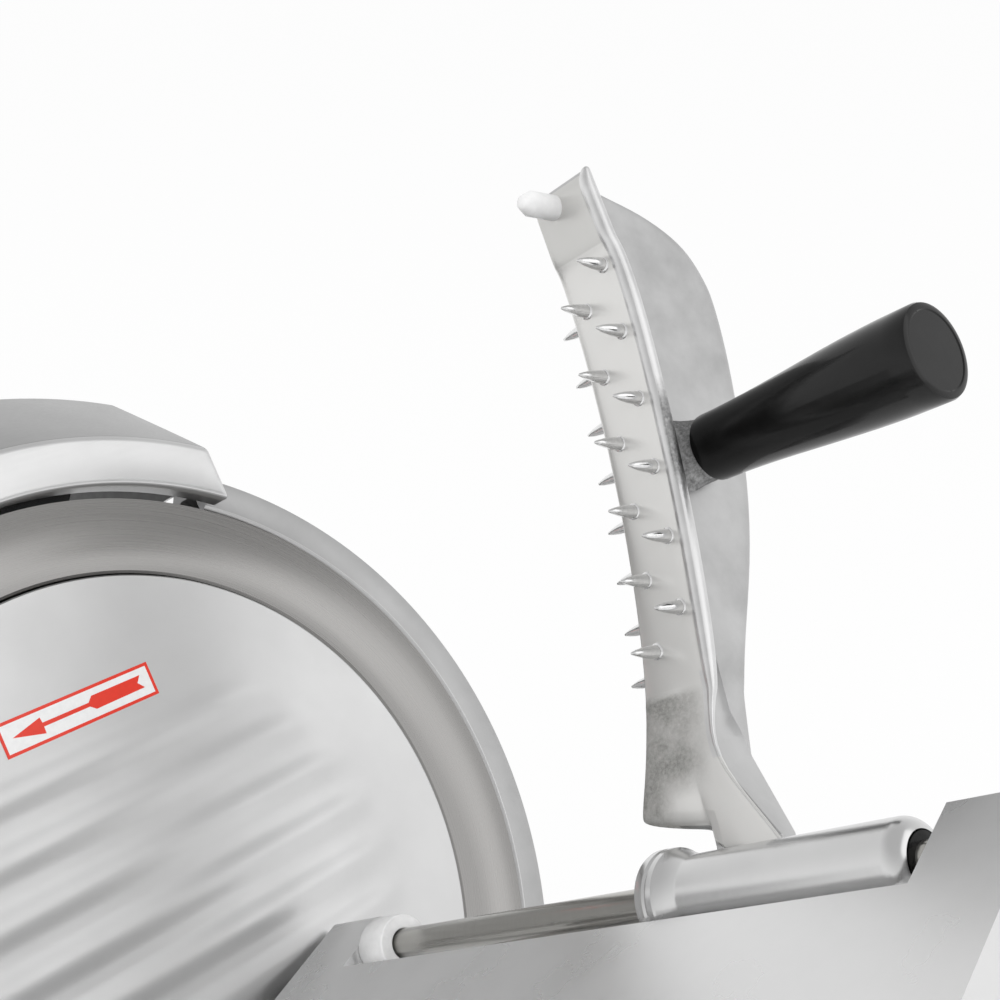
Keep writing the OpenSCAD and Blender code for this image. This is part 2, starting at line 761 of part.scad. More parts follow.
module truing_spindle() color("dimgray") tilted() translate(stone_places[1]) {
    bar(stone_pin_r, -pin_end - over, true_stone_n[1]);
    bar(press_r, -pin_end - press_d, -pin_end);
}

module truing_stone() color("gainsboro") tilted() translate(stone_places[1]) difference() {
    bar(true_r, true_stone_n[0], true_stone_n[1]);
    bar(stone_pin_r + run_fit, 0, true_stone_n[1] + over);
}

// Gauge plate, its slide and the cam that moves it

gauge_arc = blade_r + gauge_gap;
gauge_face = cover_face;
gauge_back = gauge_face + gauge_t;
gauge_bar_s = 85;
block_n = [46, 80];
block_mid = 157;
block_wall = 5;
block_h = [block_mid - gauge_bar_r - block_wall, block_mid + gauge_bar_r + block_wall];
block_half = 12;
arm_half = 7;
arm_h = [block_mid - arm_half, block_mid + arm_half];
cam_n = (block_n[0] + block_n[1]) / 2 + cam_r0;
cam_gap = 3.5;
cam_t = 9;
cam_h = block_h[1] + cam_gap;
cam_edge = 5;
groove_d = 4;
groove_steps = 60;
groove_spare = 9;
groove_r = cam_pin_r + 0.2;
gauge_ridges = floor((gauge_top + gauge_low - 24) / ridge_pitch);
turret_front = base_front;
turret_left = 72;
turret_eave = 52;
turret_fold = 50;
turret_shoulder = 73;
turret_ridge = 2;
turret_h = 90;
turret_right = 34;
turret_gable = 77;
turret_wall = 4;
turret_room = 10;
turret_back = block_h[0] - turret_room - turret_wall;
post_a = side(-gauge_bar_s, -108);
post_b = side(-gauge_bar_s, -31);
post_half = 5;
post_cap = 3.4;
dial_gap = 2;

module gauge_plate() color("gainsboro") tilted() difference() {
    union() {
        box([-gauge_front, -gauge_low, -gauge_back], [-60, gauge_top, -gauge_face]);
        intersection() {
            ridges(gauge_face, gauge_top - 12, gauge_ridges);
            box([-gauge_front + 10, -gauge_low, -gauge_face - over], [-70, gauge_top, 0]);
        }
    }
    bar(gauge_arc, -gauge_back - over, over);
}

module gauge_arm() color("darkgray") tilted() difference() {
    union() {
        box([-block_h[1], -gauge_bar_s - block_half, -block_n[1]],
            [-block_h[0], -gauge_bar_s + block_half, -block_n[0]]);
        across(-arm_h[1], -arm_h[0]) polygon([[-gauge_bar_s, -block_n[1]], [-gauge_bar_s, -block_n[0]],
            [-gauge_bar_s + 5, -block_n[0]], [-60, -gauge_back], [30, -gauge_back], [30, -gauge_back - 6],
            [-40, -gauge_back - 8], [-gauge_bar_s + block_half, -60], [-gauge_bar_s + block_half, -block_n[1]]]);
        translate([-block_h[1], -gauge_bar_s, -cam_n + cam_r0]) rotate([0, -90, 0])
            bar(cam_pin_r, -over, cam_gap + groove_d - seat);
    }
    translate([-block_mid, -gauge_bar_s, 0])
        bar(gauge_bar_r + run_fit, -block_n[1] - over, -block_n[0] + gauge_bar_r);
}

module gauge_slide_bar() color("silver") tilted()
    translate([-block_mid, -gauge_bar_s, 0]) bar(gauge_bar_r, -116, -25);

module gauge_bracket() color("darkgray") difference() {
    upright() {
        for (p = [post_a, post_b]) box([p[0] - post_half, -block_h[1], base_top],
            [p[0] + post_half, -block_h[0], p[1] + gauge_bar_r + post_cap]);
        box([post_a[0] - post_half, -block_h[1], base_top], [post_b[0] + post_half, -block_h[0], base_top + 5]);
    }
    tilted() translate([-block_mid, -gauge_bar_s, 0])
        bar(gauge_bar_r + run_fit, -140, 20);
}

// Side view of the turret, drawn in by a wall and lengthened below by a spare
module turret_outline(in, spare) {
    polygon([[in - turret_left, base_top - spare], [in - turret_left, base_top + turret_eave - in / 2],
        [in / 3 - turret_fold, base_top + turret_shoulder - in], [turret_ridge, base_top + turret_h - 1.1 * in],
        [turret_right - in, base_top + turret_gable - in / 2], [turret_right - in, base_top - spare]]);
}

module gauge_turret() color("gainsboro") difference() {
    upright() depth(-turret_front, -turret_back) turret_outline(0, 0);
    upright() depth(-turret_front + turret_wall, -turret_back - turret_wall) turret_outline(turret_wall, over);
    tilted() box([-block_h[1] - 3, -78, -64], [-block_h[0] + 3, 60, 0]);
    tilted() translate([0, -gauge_bar_s, -cam_n]) rotate([0, -90, 0])
        bar(dial_shaft_r + run_fit, turret_front - turret_wall - over, turret_front + over);
}

dial_shaft_r = 5;
// The spiral groove's middle line: its radius falls with the turn, so that the pin is drawn back
function groove_at(a) = let (r = cam_r0 - gauge_travel * a / dial_turn) polar(r, 90 - a);
groove_path = [for (i = [0 : groove_steps])
    -groove_spare + (dial_turn + 2 * groove_spare) * i / groove_steps];

// Points on both sides of the groove's middle line
function groove_side(off) = [for (a = groove_path) let (p = groove_at(a)) p + off * p / norm(p)];
function back_to_front(v) = [for (i = [len(v) - 1 : -1 : 0]) v[i]];
// The round end of the groove at a turn a: half a circle that starts at angle a0
function groove_end(a, a0) = [for (k = [1 : 7]) groove_at(a) + polar(groove_r, a0 - 180 * k / 8)];
groove_a0 = groove_path[0];
groove_a1 = groove_path[groove_steps];

module gauge_cam() color("dimgray") tilted() translate([0, -gauge_bar_s, -cam_n]) difference() {
    across(-cam_h - cam_t, -cam_h) circle(cam_r0 + groove_r + cam_edge);
    across(-cam_h - groove_d, -cam_h + over) polygon(concat(groove_side(groove_r),
        groove_end(groove_a1, 90 - groove_a1), back_to_front(groove_side(-groove_r)),
        groove_end(groove_a0, 270 - groove_a0)));
    rotate([0, -90, 0]) bar(dial_shaft_r + run_fit, cam_h - over, cam_h + cam_t + over);
}

module dial_shaft() color("silver") tilted() translate([0, -gauge_bar_s, -cam_n]) rotate([0, -90, 0])
    bar(dial_shaft_r, cam_h + 1, turret_front + dial_gap + dial_d / 2);

module dial_knob() color("black") tilted() translate([-turret_front - dial_gap, -gauge_bar_s, -cam_n])
    rotate([0, -90, 0]) difference() {
        union() {
            bar(dial_r + 4, 0, 4);
            translate([0, 0, 3]) grip_knob(dial_r, dial_d - 3, 12);
        }
        bar(dial_shaft_r + run_fit, -over, dial_d / 2 + run_fit);
    }

// Base

base_w = base_left + base_right;
base_d = base_front + base_back;
base_mid = [(base_right - base_left) / 2, (base_back - base_front) / 2];
foot_x = [-base_left + foot_inset, base_right - foot_inset];
foot_y = [-base_front + foot_inset_y, base_back - foot_inset_y];
foot_screw_r = 3;
boss_r = 9;
slot_half_z = 10;
slot_y = [leg_y - travel_front - leg_w / 2 - 3, leg_y + travel_back + leg_w / 2 + 3];
block_len = 50;
rod_stop = 3;
rod_y = [leg_y - travel_front - block_len / 2 - rod_stop, leg_y + travel_back + block_len / 2 + rod_stop];
support_w = 11;
support_half = 13;
rail_x = [46, 56];
rail_z = slide_z + roller_r + seat;
rail_y = [leg_y - travel_front - roller_r - 6, leg_y + travel_back + roller_r + 6];
gland_x = -100;
gland_z = 42;
gland_r = 8;
wire_x = -30;
wire_y = 30;

module base_plan(in) {
    translate(base_mid) rounded(base_w - 2 * in, base_d - 2 * in, base_corner - in);
}

module at_feet() {
    for (x = foot_x, y = foot_y) translate([x, y, 0]) children();
}

module base_casting() color("gainsboro") upright() difference() {
    union() {
        difference() {
            translate([0, 0, foot_h]) linear_extrude(base_top - foot_h) base_plan(0);
            translate([0, 0, foot_h - over]) linear_extrude(base_top - foot_h - base_wall + over)
                base_plan(base_wall);
        }
        at_feet() bar(boss_r, foot_h + floor_t, base_top - over);
        for (y = [rod_y[0] - support_w, rod_y[1]])
            box([slide_x - support_half, y, slide_z - support_half],
                [slide_x + support_half, y + support_w, base_top - over]);
        box([rail_x[0], rail_y[0], rail_z], [rail_x[1], rail_y[1], base_top - over]);
    }
    at_feet() bar(foot_screw_r + run_fit, foot_h, base_top - base_wall - 8);
    translate([slide_x, 0, slide_z]) rotate([-90, 0, 0])
        bar(slide_r + run_fit, rod_y[0] - support_w - over, rod_y[1] + support_w + over);
    box([base_right - base_wall - over, slot_y[0], slide_z - slot_half_z],
        [base_right + over, slot_y[1], slide_z + slot_half_z]);
    for (x = [-1, 1]) translate([switch_x + x * switch_pitch / 2, -base_front, switch_z]) rotate([-90, 0, 0])
        bar(button_r + seat, -over, base_wall + over);
    translate([gland_x, base_back, gland_z]) rotate([-90, 0, 0]) bar(gland_r + run_fit, -base_wall - over, over);
    translate([wire_x, wire_y, 0]) bar(10, base_top - base_wall - over, base_top + over);
}

module base_cover() color("silver") upright() difference() {
    translate([0, 0, foot_h]) linear_extrude(floor_t) base_plan(base_wall + seat);
    at_feet() bar(foot_screw_r + run_fit, foot_h - over, foot_h + floor_t + over);
}

module rubber_feet() color("dimgray") upright() at_feet() difference() {
    cylinder(r1 = foot_r - 2, r2 = foot_r, h = foot_h);
    bar(foot_screw_r + 4, -over, foot_h / 2);
    bar(foot_screw_r + run_fit, 0, foot_h + over);
}

module base_screws() color("dimgray") upright() at_feet() {
    bar(foot_screw_r, foot_h / 2 - over, base_top - base_wall - 14);
    bar(foot_screw_r + 3, foot_h / 2 - 3, foot_h / 2);
}

module slide_rod() color("silver") upright() translate([slide_x, 0, slide_z]) rotate([-90, 0, 0])
    bar(slide_r, rod_y[0] - support_w, rod_y[1] + support_w);

module cable_gland() color("black") upright() translate([gland_x, base_back, gland_z]) rotate([-90, 0, 0])
    difference() {
        union() {
            bar(gland_r, -base_wall - 6, over);
            bar(gland_r + 3, 0, 5);
            translate([0, 0, 5]) cylinder(r1 = gland_r + 2, r2 = gland_r - 1, h = 8);
        }
        bar(4, -base_wall - 6 - over, 14);
    }

module capacitor() color("whitesmoke") upright() translate([-70, 40, foot_h + floor_t + 17])
    rotate([-90, 0, 0]) {
        bar(17, 0, 52);
        bar(6, -4, over);
    }

// Switches

switch_w = switch_pitch + 2 * button_r + 16;
switch_half_z = button_r + 5;
plate_gap = 1.5;
cell_d = 23;
cell_bore = 12;
button_out = 6;

module button_at(side) {
    translate([switch_x + side * switch_pitch / 2, -base_front, switch_z]) rotate([-90, 0, 0]) children();
}

module switch_plate() color("darkgray") upright() difference() {
    box([switch_x - switch_w / 2, -base_front - plate_gap, switch_z - switch_half_z],
        [switch_x + switch_w / 2, -base_front, switch_z + switch_half_z]);
    for (x = [-1, 1]) button_at(x) bar(button_r + seat, -plate_gap - over, over);
}

module switch_block() color("dimgray") upright() difference() {
    box([switch_x - switch_w / 2 + 2, -base_front + base_wall, switch_z - button_r - 2],
        [switch_x + switch_w / 2 - 2, -base_front + base_wall + cell_d, switch_z + button_r + 2]);
    for (x = [-1, 1]) button_at(x) bar(button_r + seat, base_wall - over, base_wall + cell_bore);
}

module push_button() {
    bar(button_r, -plate_gap - button_out + 1.5, base_wall + cell_bore - button_travel - 1);
    translate([0, 0, -plate_gap - button_out]) cylinder(r1 = button_r - 1.5, r2 = button_r, h = 1.5);
}

module on_button() color("green") upright() button_at(-1) push_button();

module off_button() color("red") upright() button_at(1) push_button();

// Carriage: slide block, leg, roller and lock knob

block_x = [slide_x - 14, slide_x + 16];
block_z = [slide_z - 13, slide_z + 12];
bush_r = slide_r + 3;
bush_len = 14;
roller_pin_r = 4;
roller_w = 8;
leg_arm_half = 8;
lock_screw_r = 4;
leg_out = base_right + 27;

module slide_block() color("darkgray") upright() translate([0, leg_y, 0]) difference() {
    union() {
        box([block_x[0], -block_len / 2, block_z[0]], [block_x[1], block_len / 2, block_z[1]]);
        box([rail_x[1] + over, -12, slide_z - 7], [block_x[0] + over, 12, slide_z + 7]);
        translate([0, 0, slide_z]) rotate([0, 90, 0]) bar(roller_pin_r, rail_x[0], rail_x[1] + 2 * over);
    }
    translate([slide_x, 0, slide_z]) rotate([-90, 0, 0]) {
        bar(slide_r + 1, -block_len / 2 - over, block_len / 2 + over);
        for (y = [-block_len / 2 - over, block_len / 2 - bush_len])
            bar(bush_r + run_fit, y, y + bush_len + over);
    }
    translate([0, 0, slide_z]) rotate([0, 90, 0]) bar(lock_screw_r + run_fit, slide_x + bush_r, block_x[1] + over);
}

module slide_bushes() color("peru") upright() translate([slide_x, leg_y, slide_z]) rotate([-90, 0, 0])
    for (y = [-block_len / 2, block_len / 2 - bush_len]) difference() {
        bar(bush_r, y, y + bush_len);
        bar(slide_r + run_fit, y - over, y + bush_len + over);
    }

module guide_roller() color("dimgray") upright() translate([0, leg_y, slide_z]) rotate([0, 90, 0]) difference() {
    bar(roller_r, rail_x[0] + 1, rail_x[0] + 1 + roller_w);
    bar(roller_pin_r + run_fit, rail_x[0], rail_x[1] + over);
}

// Side view of the leg: an arm through the base's slot, then a post that leans out to the tray
module leg_outline() {
    polygon([[block_x[1], slide_z - leg_arm_half], [leg_out, slide_z - leg_arm_half],
        [leg_out + 6, slide_z + 24], [leg_out + 20, 180], [leg_out + 34, 320], [leg_out - 12, 320],
        [leg_out - 16, 180], [leg_out - 18, slide_z + 26], [leg_out - 20, slide_z + leg_arm_half],
        [block_x[1], slide_z + leg_arm_half]]);
}

module carriage_leg() color("gainsboro") difference() {
    union() {
        upright() depth(leg_y - leg_w / 2, leg_y + leg_w / 2) leg_outline();
        on_tray() box([-60, tray_lift - tray_t - 6, 96], [-collar_r - 3, tray_lift - tray_t, 166]);
    }
    on_tray() box([-150, tray_lift - tray_t, 0], [80, 200, 400]);
    upright() translate([0, leg_y, slide_z]) rotate([0, 90, 0]) bar(lock_screw_r + run_fit, 90, leg_out + 20);
}

module tray_lock_knob() color("black") upright() translate([leg_out + 4.5, leg_y, slide_z]) rotate([0, 90, 0])
    union() {
        bar(lock_screw_r, block_x[1] - leg_out - 4.5 - 2, over);
        bar(lock_screw_r + 3, -1, 4);
        translate([0, 0, 3]) grip_knob(16, 20, 6);
    }

// Tray

ear_out = sleeve_n1 + sleeve_room;
tray_end = ear_out + ear_w;
ear_back = 7;
outer_ear_back = 10.5;
ear_boss_r = 8;
rim_t = 4;
rim_d = 14;
rod_n = [tray_gap + 5, tray_end - 5];
ring_end = 39.5;
tray_front = -tray_len;

module carriage_tray() color("silver") on_tray() difference() {
    union() {
        box([tray_front, tray_lift - tray_t, tray_gap], [-notch_front, tray_lift, tray_end]);
        box([-notch_front - over, tray_lift - tray_t, tray_gap], [ear_back, tray_lift, ear_in]);
        box([-notch_front - over, tray_lift - tray_t, ear_out], [outer_ear_back, tray_lift, tray_end]);
        bar(ear_boss_r, tray_gap, ear_in);
        bar(ear_boss_r, ear_out, tray_end);
        box([tray_front, tray_lift - rim_d, tray_end - rim_t], [outer_ear_back, tray_lift, tray_end]);
        box([tray_front, tray_lift - rim_d, tray_gap], [tray_front + rim_t, tray_lift, tray_end]);
        box([tray_front, tray_lift - rim_d, tray_gap], [ear_back, tray_lift, tray_gap + rim_t]);
    }
    bar(rod_r + run_fit, rod_n[0], rod_n[1]);
    box([-ear_boss_r - 2, tray_lift, 0], [30, 30, tray_end + over]);
}

module tray_fence() color("silver") on_tray() union() {
    box([tray_front - fence_t, tray_lift - rim_d, tray_gap], [tray_front, tray_lift + fence_h, tray_end]);
    box([tray_front - fence_t - 9, tray_lift + fence_h - fence_t, tray_gap],
        [tray_front, tray_lift + fence_h, tray_end]);
}

module pusher_rod() color("lightgray") on_tray() bar(rod_r, rod_n[0], rod_n[1]);

module rod_end_ring() color("white") on_tray() difference() {
    union() {
        bar(ear_boss_r - 1, ear_in, ear_in + 2);
        bar(ear_boss_r, ear_in + 2, ring_end);
    }
    bar(rod_r + run_fit, 0, ring_end + over);
}

// Pusher

pin_bush_r = rod_r + 2;
pin_bush_len = 15;
bush_ends = [sleeve_n0, sleeve_n1 - pin_bush_len];
curve_c = [flange_o - flange_curve_r, 100];
plate_corner = 20;
arm_n = [154, 175];
arm_l = 36;
arm_o = [5.2, 11];
web_o = 38;
collar_cone = 4.5;
pad_l = 158.6;
pad_t = 1.2;
peg_r = 3.6;
peg_l = flange_l1 - peg_r - 0.2;
peg_n = plate_n + 6.2;
boss_len = 4.5;
spike_cols = [plate_n + 6, plate_n + 15.5];
spike_pitch = 17.65;
spike_l0 = [57.5, 66.2];
face_spike_o = 5;
face_pitch = 13.2;
face_count = 9;
face_l0 = 51.8;

// Depth of the flange's spiked side behind the rod, at a length l along the plate
function curve_o(l) = curve_c[0] + sqrt(flange_curve_r * flange_curve_r - (l - curve_c[1]) * (l - curve_c[1]));
// Turn of the flange's surface at that length
function curve_a(l) = asin((l - curve_c[1]) / flange_curve_r);

module pusher_bushes() color("white") on_pusher() for (n = bush_ends) difference() {
    bar(pin_bush_r, n, n + pin_bush_len);
    bar(rod_r + run_fit, n - over, n + pin_bush_len + over);
}

// The plate in side view: a round-cornered sheet cut along the flange's hollow curve
module plate_outline() {
    difference() {
        union() {
            polygon([[0, flange_l0], [web_o, flange_l0], [web_o + 3, 44], [47, 60], [56, 80], [62.3, 102],
                [plate_o, 132], [plate_o, 156], [plate_o - plate_corner, 156 + plate_corner],
                [29, flange_l1 + 4], [0, flange_l1 + 1]]);
            translate([plate_o - plate_corner, 156]) circle(plate_corner);
        }
        translate(curve_c) circle(flange_curve_r, $fn = 360);
        translate([-5, flange_l1]) square([20, 20]);
    }
}

module flange_outline() {
    intersection() {
        translate(curve_c) difference() {
            circle(flange_curve_r + flange_t, $fn = 360);
            circle(flange_curve_r, $fn = 360);
        }
        translate([0, flange_l0]) square([40, flange_l1 - flange_l0]);
    }
    intersection() {
        translate(curve_c) difference() {
            circle(flange_curve_r + over, $fn = 360);
            circle(flange_curve_r - pad_t, $fn = 360);
        }
        translate([0, pad_l]) square([40, flange_l1 - pad_l]);
    }
}

module pusher_casting() color("silver") on_pusher() difference() {
    union() {
        bar(sleeve_r, sleeve_n0, sleeve_n1);
        bar(collar_r, sleeve_n0, sleeve_n0 + collar_len);
        translate([0, 0, sleeve_n0 + collar_len - over])
            cylinder(r1 = collar_r, r2 = sleeve_r, h = collar_cone);
        translate([0, 0, plate_n]) linear_extrude(plate_t) plate_outline();
        translate([0, 0, plate_n]) linear_extrude(flange_w) flange_outline();
        across(arm_o[0], arm_o[1]) polygon([[0, arm_n[0]], [0, arm_n[1]], [sleeve_r, arm_n[1]],
            [arm_l, plate_n + flange_w], [arm_l, plate_n], [flange_l0, plate_n], [flange_l0, arm_n[0]]]);
        across(arm_o[0], web_o) polygon([[4, arm_n[0]], [4, arm_n[0] + 6], [arm_l + 8, plate_n + plate_t],
            [arm_l + 8, plate_n], [flange_l0, plate_n], [flange_l0, arm_n[0]]]);
        translate([handle_o, handle_l, plate_n]) bar(handle_r0 + 0.7, plate_t - over, plate_t + boss_len);
    }
    bar(rod_r + 0.6, sleeve_n0 - over, sleeve_n1 + over);
    for (n = [sleeve_n0 - over, sleeve_n1 - pin_bush_len])
        bar(pin_bush_r + run_fit, n, n + pin_bush_len + over);
}

// A spike that stands on the flange's hollow side
module flange_spike(l, n) {
    translate([curve_o(l) - run_fit, l, n]) rotate([0, 0, curve_a(l)]) rotate([0, -90, 0])
        cylinder(r1 = spike_r, r2 = 0.25, h = spike_len, $fn = 24);
}

module pusher_spikes() color("gainsboro") on_pusher() {
    for (c = [0, 1], i = [0 : 5]) flange_spike(spike_l0[c] + i * spike_pitch, spike_cols[c]);
    for (i = [0 : face_count - 1]) let (l = face_l0 + i * face_pitch)
        translate([curve_o(l) + face_spike_o, l, plate_n]) mirror([0, 0, 1])
        cylinder(r1 = spike_r, r2 = 0.25, h = spike_len, $fn = 24);
}

module pusher_handle() color("black") on_pusher() translate([handle_o, handle_l, plate_n + plate_t + boss_len])
    rotate_extrude() polygon([[0, 0], [handle_r0 - 0.7, 0], [handle_r0, 0.7], [handle_r0 + 0.3, 12],
        [handle_r0 + 1.6, 34], [handle_r1, 58], [handle_r1, handle_len - 1], [handle_r1 - 1, handle_len],
        [0, handle_len]]);

module pusher_peg() color("white") on_pusher() translate([curve_o(peg_l) - pad_t - run_fit, peg_l, peg_n])
    rotate([0, 0, curve_a(peg_l)]) rotate([0, -90, 0]) {
        cylinder(r = peg_r, h = peg_len - 3.5);
        translate([0, 0, peg_len - 3.5]) cylinder(r1 = peg_r, r2 = 0.9, h = 3.5);
    }

base_casting();
base_cover();
rubber_feet();
base_screws();
motor_housing();
housing_cover();
housing_screws();
motor_stator();
drive_belt();
spindle_bearings();
knife_cover();
guard_ring();
slice_deflector();
sharpener_post();
sharpener_body();
sharpener_springs();
gauge_slide_bar();
gauge_bracket();
gauge_turret();
slide_rod();
switch_plate();
switch_block();
cable_gland();
capacitor();
blade();
blade_screws();
blade_spindle();
blade_pulley();
motor_shaft();
motor_fan();
motor_pulley();
cover_tie_rod();
cover_knob();
sharpener_cover();
sharpener_knob();
grinding_spindle();
grinding_stone();
truing_spindle();
truing_stone();
gauge_plate();
gauge_arm();
dial_shaft();
gauge_cam();
dial_knob();
carriage_tray();
tray_fence();
carriage_leg();
slide_block();
slide_bushes();
pusher_rod();
rod_end_ring();
guide_roller();
tray_lock_knob();
pusher_bushes();
pusher_casting();
pusher_spikes();
pusher_handle();
pusher_peg();
on_button();
off_button();
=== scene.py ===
import json
import math

import bmesh
import bpy
from mathutils import Matrix, Vector


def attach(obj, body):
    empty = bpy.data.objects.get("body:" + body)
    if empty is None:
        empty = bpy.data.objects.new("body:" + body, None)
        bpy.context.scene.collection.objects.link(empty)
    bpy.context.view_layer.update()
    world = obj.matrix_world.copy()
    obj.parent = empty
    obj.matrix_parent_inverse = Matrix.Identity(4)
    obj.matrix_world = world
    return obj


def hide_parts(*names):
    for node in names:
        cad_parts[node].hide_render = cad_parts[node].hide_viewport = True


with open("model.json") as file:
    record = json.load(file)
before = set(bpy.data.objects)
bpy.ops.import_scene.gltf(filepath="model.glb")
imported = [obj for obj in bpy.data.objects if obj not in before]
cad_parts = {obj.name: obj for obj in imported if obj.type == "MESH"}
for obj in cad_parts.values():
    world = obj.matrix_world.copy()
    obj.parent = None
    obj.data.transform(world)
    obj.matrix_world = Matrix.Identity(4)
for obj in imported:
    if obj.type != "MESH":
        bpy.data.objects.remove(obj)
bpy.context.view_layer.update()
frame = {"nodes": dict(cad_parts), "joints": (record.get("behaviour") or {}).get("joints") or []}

# Frame and camera
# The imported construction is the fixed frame. Most pieces are drawn in millimetres on the blade's
# own axes: x along the carriage's travel, y up the blade's face and z out along the blade's axis.
MM = 0.001
nodes = frame["nodes"]
joints = {joint["name"]: joint for joint in frame["joints"]}
travel = Vector((0.0, 1.0, 0.0))
blade_centre = Vector(joints["blade_spin"]["pos_m"])
blade_axis = Vector(joints["blade_spin"]["axis"]).normalized()
face_up = blade_axis.cross(travel)
blade_space = Matrix.Translation(blade_centre) @ Matrix((travel, face_up, blade_axis)).transposed().to_4x4()

camera_from_blade = Vector((0.30816, -0.21271, 0.27270))
camera_dip = math.radians(21.68)
camera_turn = math.radians(41.63)
camera_data = bpy.data.cameras.new("camera")
camera_data.sensor_width = 36.0
camera_data.lens = 57.6
camera_data.clip_start = 0.01
camera = bpy.data.objects.new("camera", camera_data)
camera.location = blade_centre + camera_from_blade
camera.rotation_euler = (math.pi / 2 - camera_dip, 0.0, camera_turn)
bpy.context.scene.collection.objects.link(camera)
bpy.context.scene.camera = camera
bpy.context.scene.view_settings.view_transform = "Standard"


# Studio
# A white floor under a pale dome that dims towards its ceiling, as in a white photo booth, with a
# softbox over each shoulder and a wide dim one behind. The floor keeps a faint shadow.
def wire(tree, kind, *sources, **settings):
    """Adds one node, links the sources into its first inputs and sets its other values."""
    made = tree.nodes.new("ShaderNode" + kind)
    for name, value in settings.items():
        socket = made.inputs.get(name.replace("_", " "))
        if socket:
            socket.default_value = value
        else:
            setattr(made, name, value)
    for socket, source in zip(made.inputs, sources):
        if source:
            tree.links.new(source, socket)
    return made


def shows_backdrop(tree):
    """One for the rays that show the backdrop itself: to the camera, in a mirror or through glass."""
    path = wire(tree, "LightPath").outputs
    seen = wire(tree, "Math", path["Is Camera Ray"], path["Is Glossy Ray"], operation="MAXIMUM")
    return wire(tree, "Math", seen.outputs[0], path["Is Transmission Ray"], operation="MAXIMUM").outputs[0]


dome_dim = 0.6
dome_light = 0.9
floor_glow = 0.95
world = bpy.data.worlds.new("photo_booth")
world.use_nodes = True
bpy.context.scene.world = world
sky = world.node_tree
height = wire(sky, "SeparateXYZ", wire(sky, "TexCoord").outputs["Generated"]).outputs["Z"]
dome = wire(sky, "MapRange", height, From_Min=0.08, From_Max=0.85, To_Min=1.0, To_Max=dome_dim)
glow = wire(sky, "MapRange", shows_backdrop(sky), To_Min=dome_light, To_Max=1.0)
level = wire(sky, "Math", dome.outputs[0], glow.outputs[0], operation="MULTIPLY")
sky.links.new(level.outputs[0], sky.nodes["Background"].inputs["Strength"])
sky.nodes["Background"].inputs["Color"].default_value = (1.0, 1.0, 1.0, 1.0)

floor_r = 14.0
floor_mesh = bmesh.new()
bmesh.ops.create_circle(floor_mesh, cap_ends=True, radius=floor_r, segments=96)
floor_data = bpy.data.meshes.new("floor")
floor_mesh.to_mesh(floor_data)
floor_mesh.free()
floor = bpy.data.objects.new("floor", floor_data)
bpy.context.scene.collection.objects.link(floor)
floor_paint = bpy.data.materials.new("white_floor")
floor_paint.use_nodes = True
sweep = floor_paint.node_tree
matt = sweep.nodes["Principled BSDF"]
matt.inputs["Base Color"].default_value = (0.86, 0.86, 0.86, 1.0)
matt.inputs["Roughness"].default_value = 0.9
white = wire(sweep, "Emission", Strength=1.0)
share = wire(sweep, "Math", shows_backdrop(sweep), operation="MULTIPLY")
share.inputs[1].default_value = floor_glow
blend = wire(sweep, "MixShader", share.outputs[0], matt.outputs[0], white.outputs[0])
sweep.links.new(blend.outputs[0], sweep.nodes["Material Output"].inputs["Surface"])
floor_data.materials.append(floor_paint)


def softbox(name, place, width, height, power, mirrored=False):
    """A flat lamp that faces the blade, with or without its mirror image in the metal."""
    lamp = bpy.data.lights.new(name, "AREA")
    lamp.shape = "RECTANGLE"
    lamp.size = width
    lamp.size_y = height
    lamp.energy = power
    holder = bpy.data.objects.new(name, lamp)
    holder.location = blade_centre + Vector(place)
    holder.rotation_euler = (-Vector(place)).to_track_quat("-Z", "Y").to_euler()
    holder.visible_glossy = mirrored
    bpy.context.scene.collection.objects.link(holder)


softbox("key_softbox", (1.3, -1.2, 1.5), 1.4, 1.2, 27.0)
softbox("left_softbox", (-1.1, -1.3, 1.5), 1.2, 1.0, 15.0)
softbox("rear_softbox", (1.3, 0.8, 1.2), 1.5, 1.3, 4.0, mirrored=True)


# Base
# A low box of cast aluminium, tumbled and clear anodised, which stands on four rubber feet. The
# motor housing, the gauge's turret and the carriage leg are castings of the same finish.
def finish(name, colour, metallic, roughness, **sockets):
    """A material with the values that are the same all over set on the shader's own sockets."""
    material = bpy.data.materials.new(name)
    material.use_nodes = True
    inputs = material.node_tree.nodes["Principled BSDF"].inputs
    inputs["Base Color"].default_value = (*colour, 1.0)
    inputs["Metallic"].default_value = metallic
    inputs["Roughness"].default_value = roughness
    for socket, value in sockets.items():
        inputs[socket.replace("_", " ")].default_value = value
    return material


def local_point(material, space):
    """Where a point of the surface lies in a piece's own frame, in millimetres."""
    tree = material.node_tree
    inward = space.inverted()
    place = wire(tree, "Mapping", wire(tree, "TexCoord").outputs["Object"])
    place.inputs["Location"].default_value = inward.to_translation() / MM
    place.inputs["Rotation"].default_value = inward.to_euler()
    place.inputs["Scale"].default_value = (1 / MM,) * 3
    return place.outputs["Vector"]


def grain(material, point, per_mm, detail=4.0, rough=0.6):
    """Noise with so many marks per millimetre along each axis of the point's frame."""
    tree = material.node_tree
    stretched = wire(tree, "VectorMath", point, operation="MULTIPLY")
    stretched.inputs[1].default_value = per_mm
    noise = wire(tree, "TexNoise", stretched.outputs[0], Scale=1.0, Detail=detail, Roughness=rough)
    return noise.outputs[0]


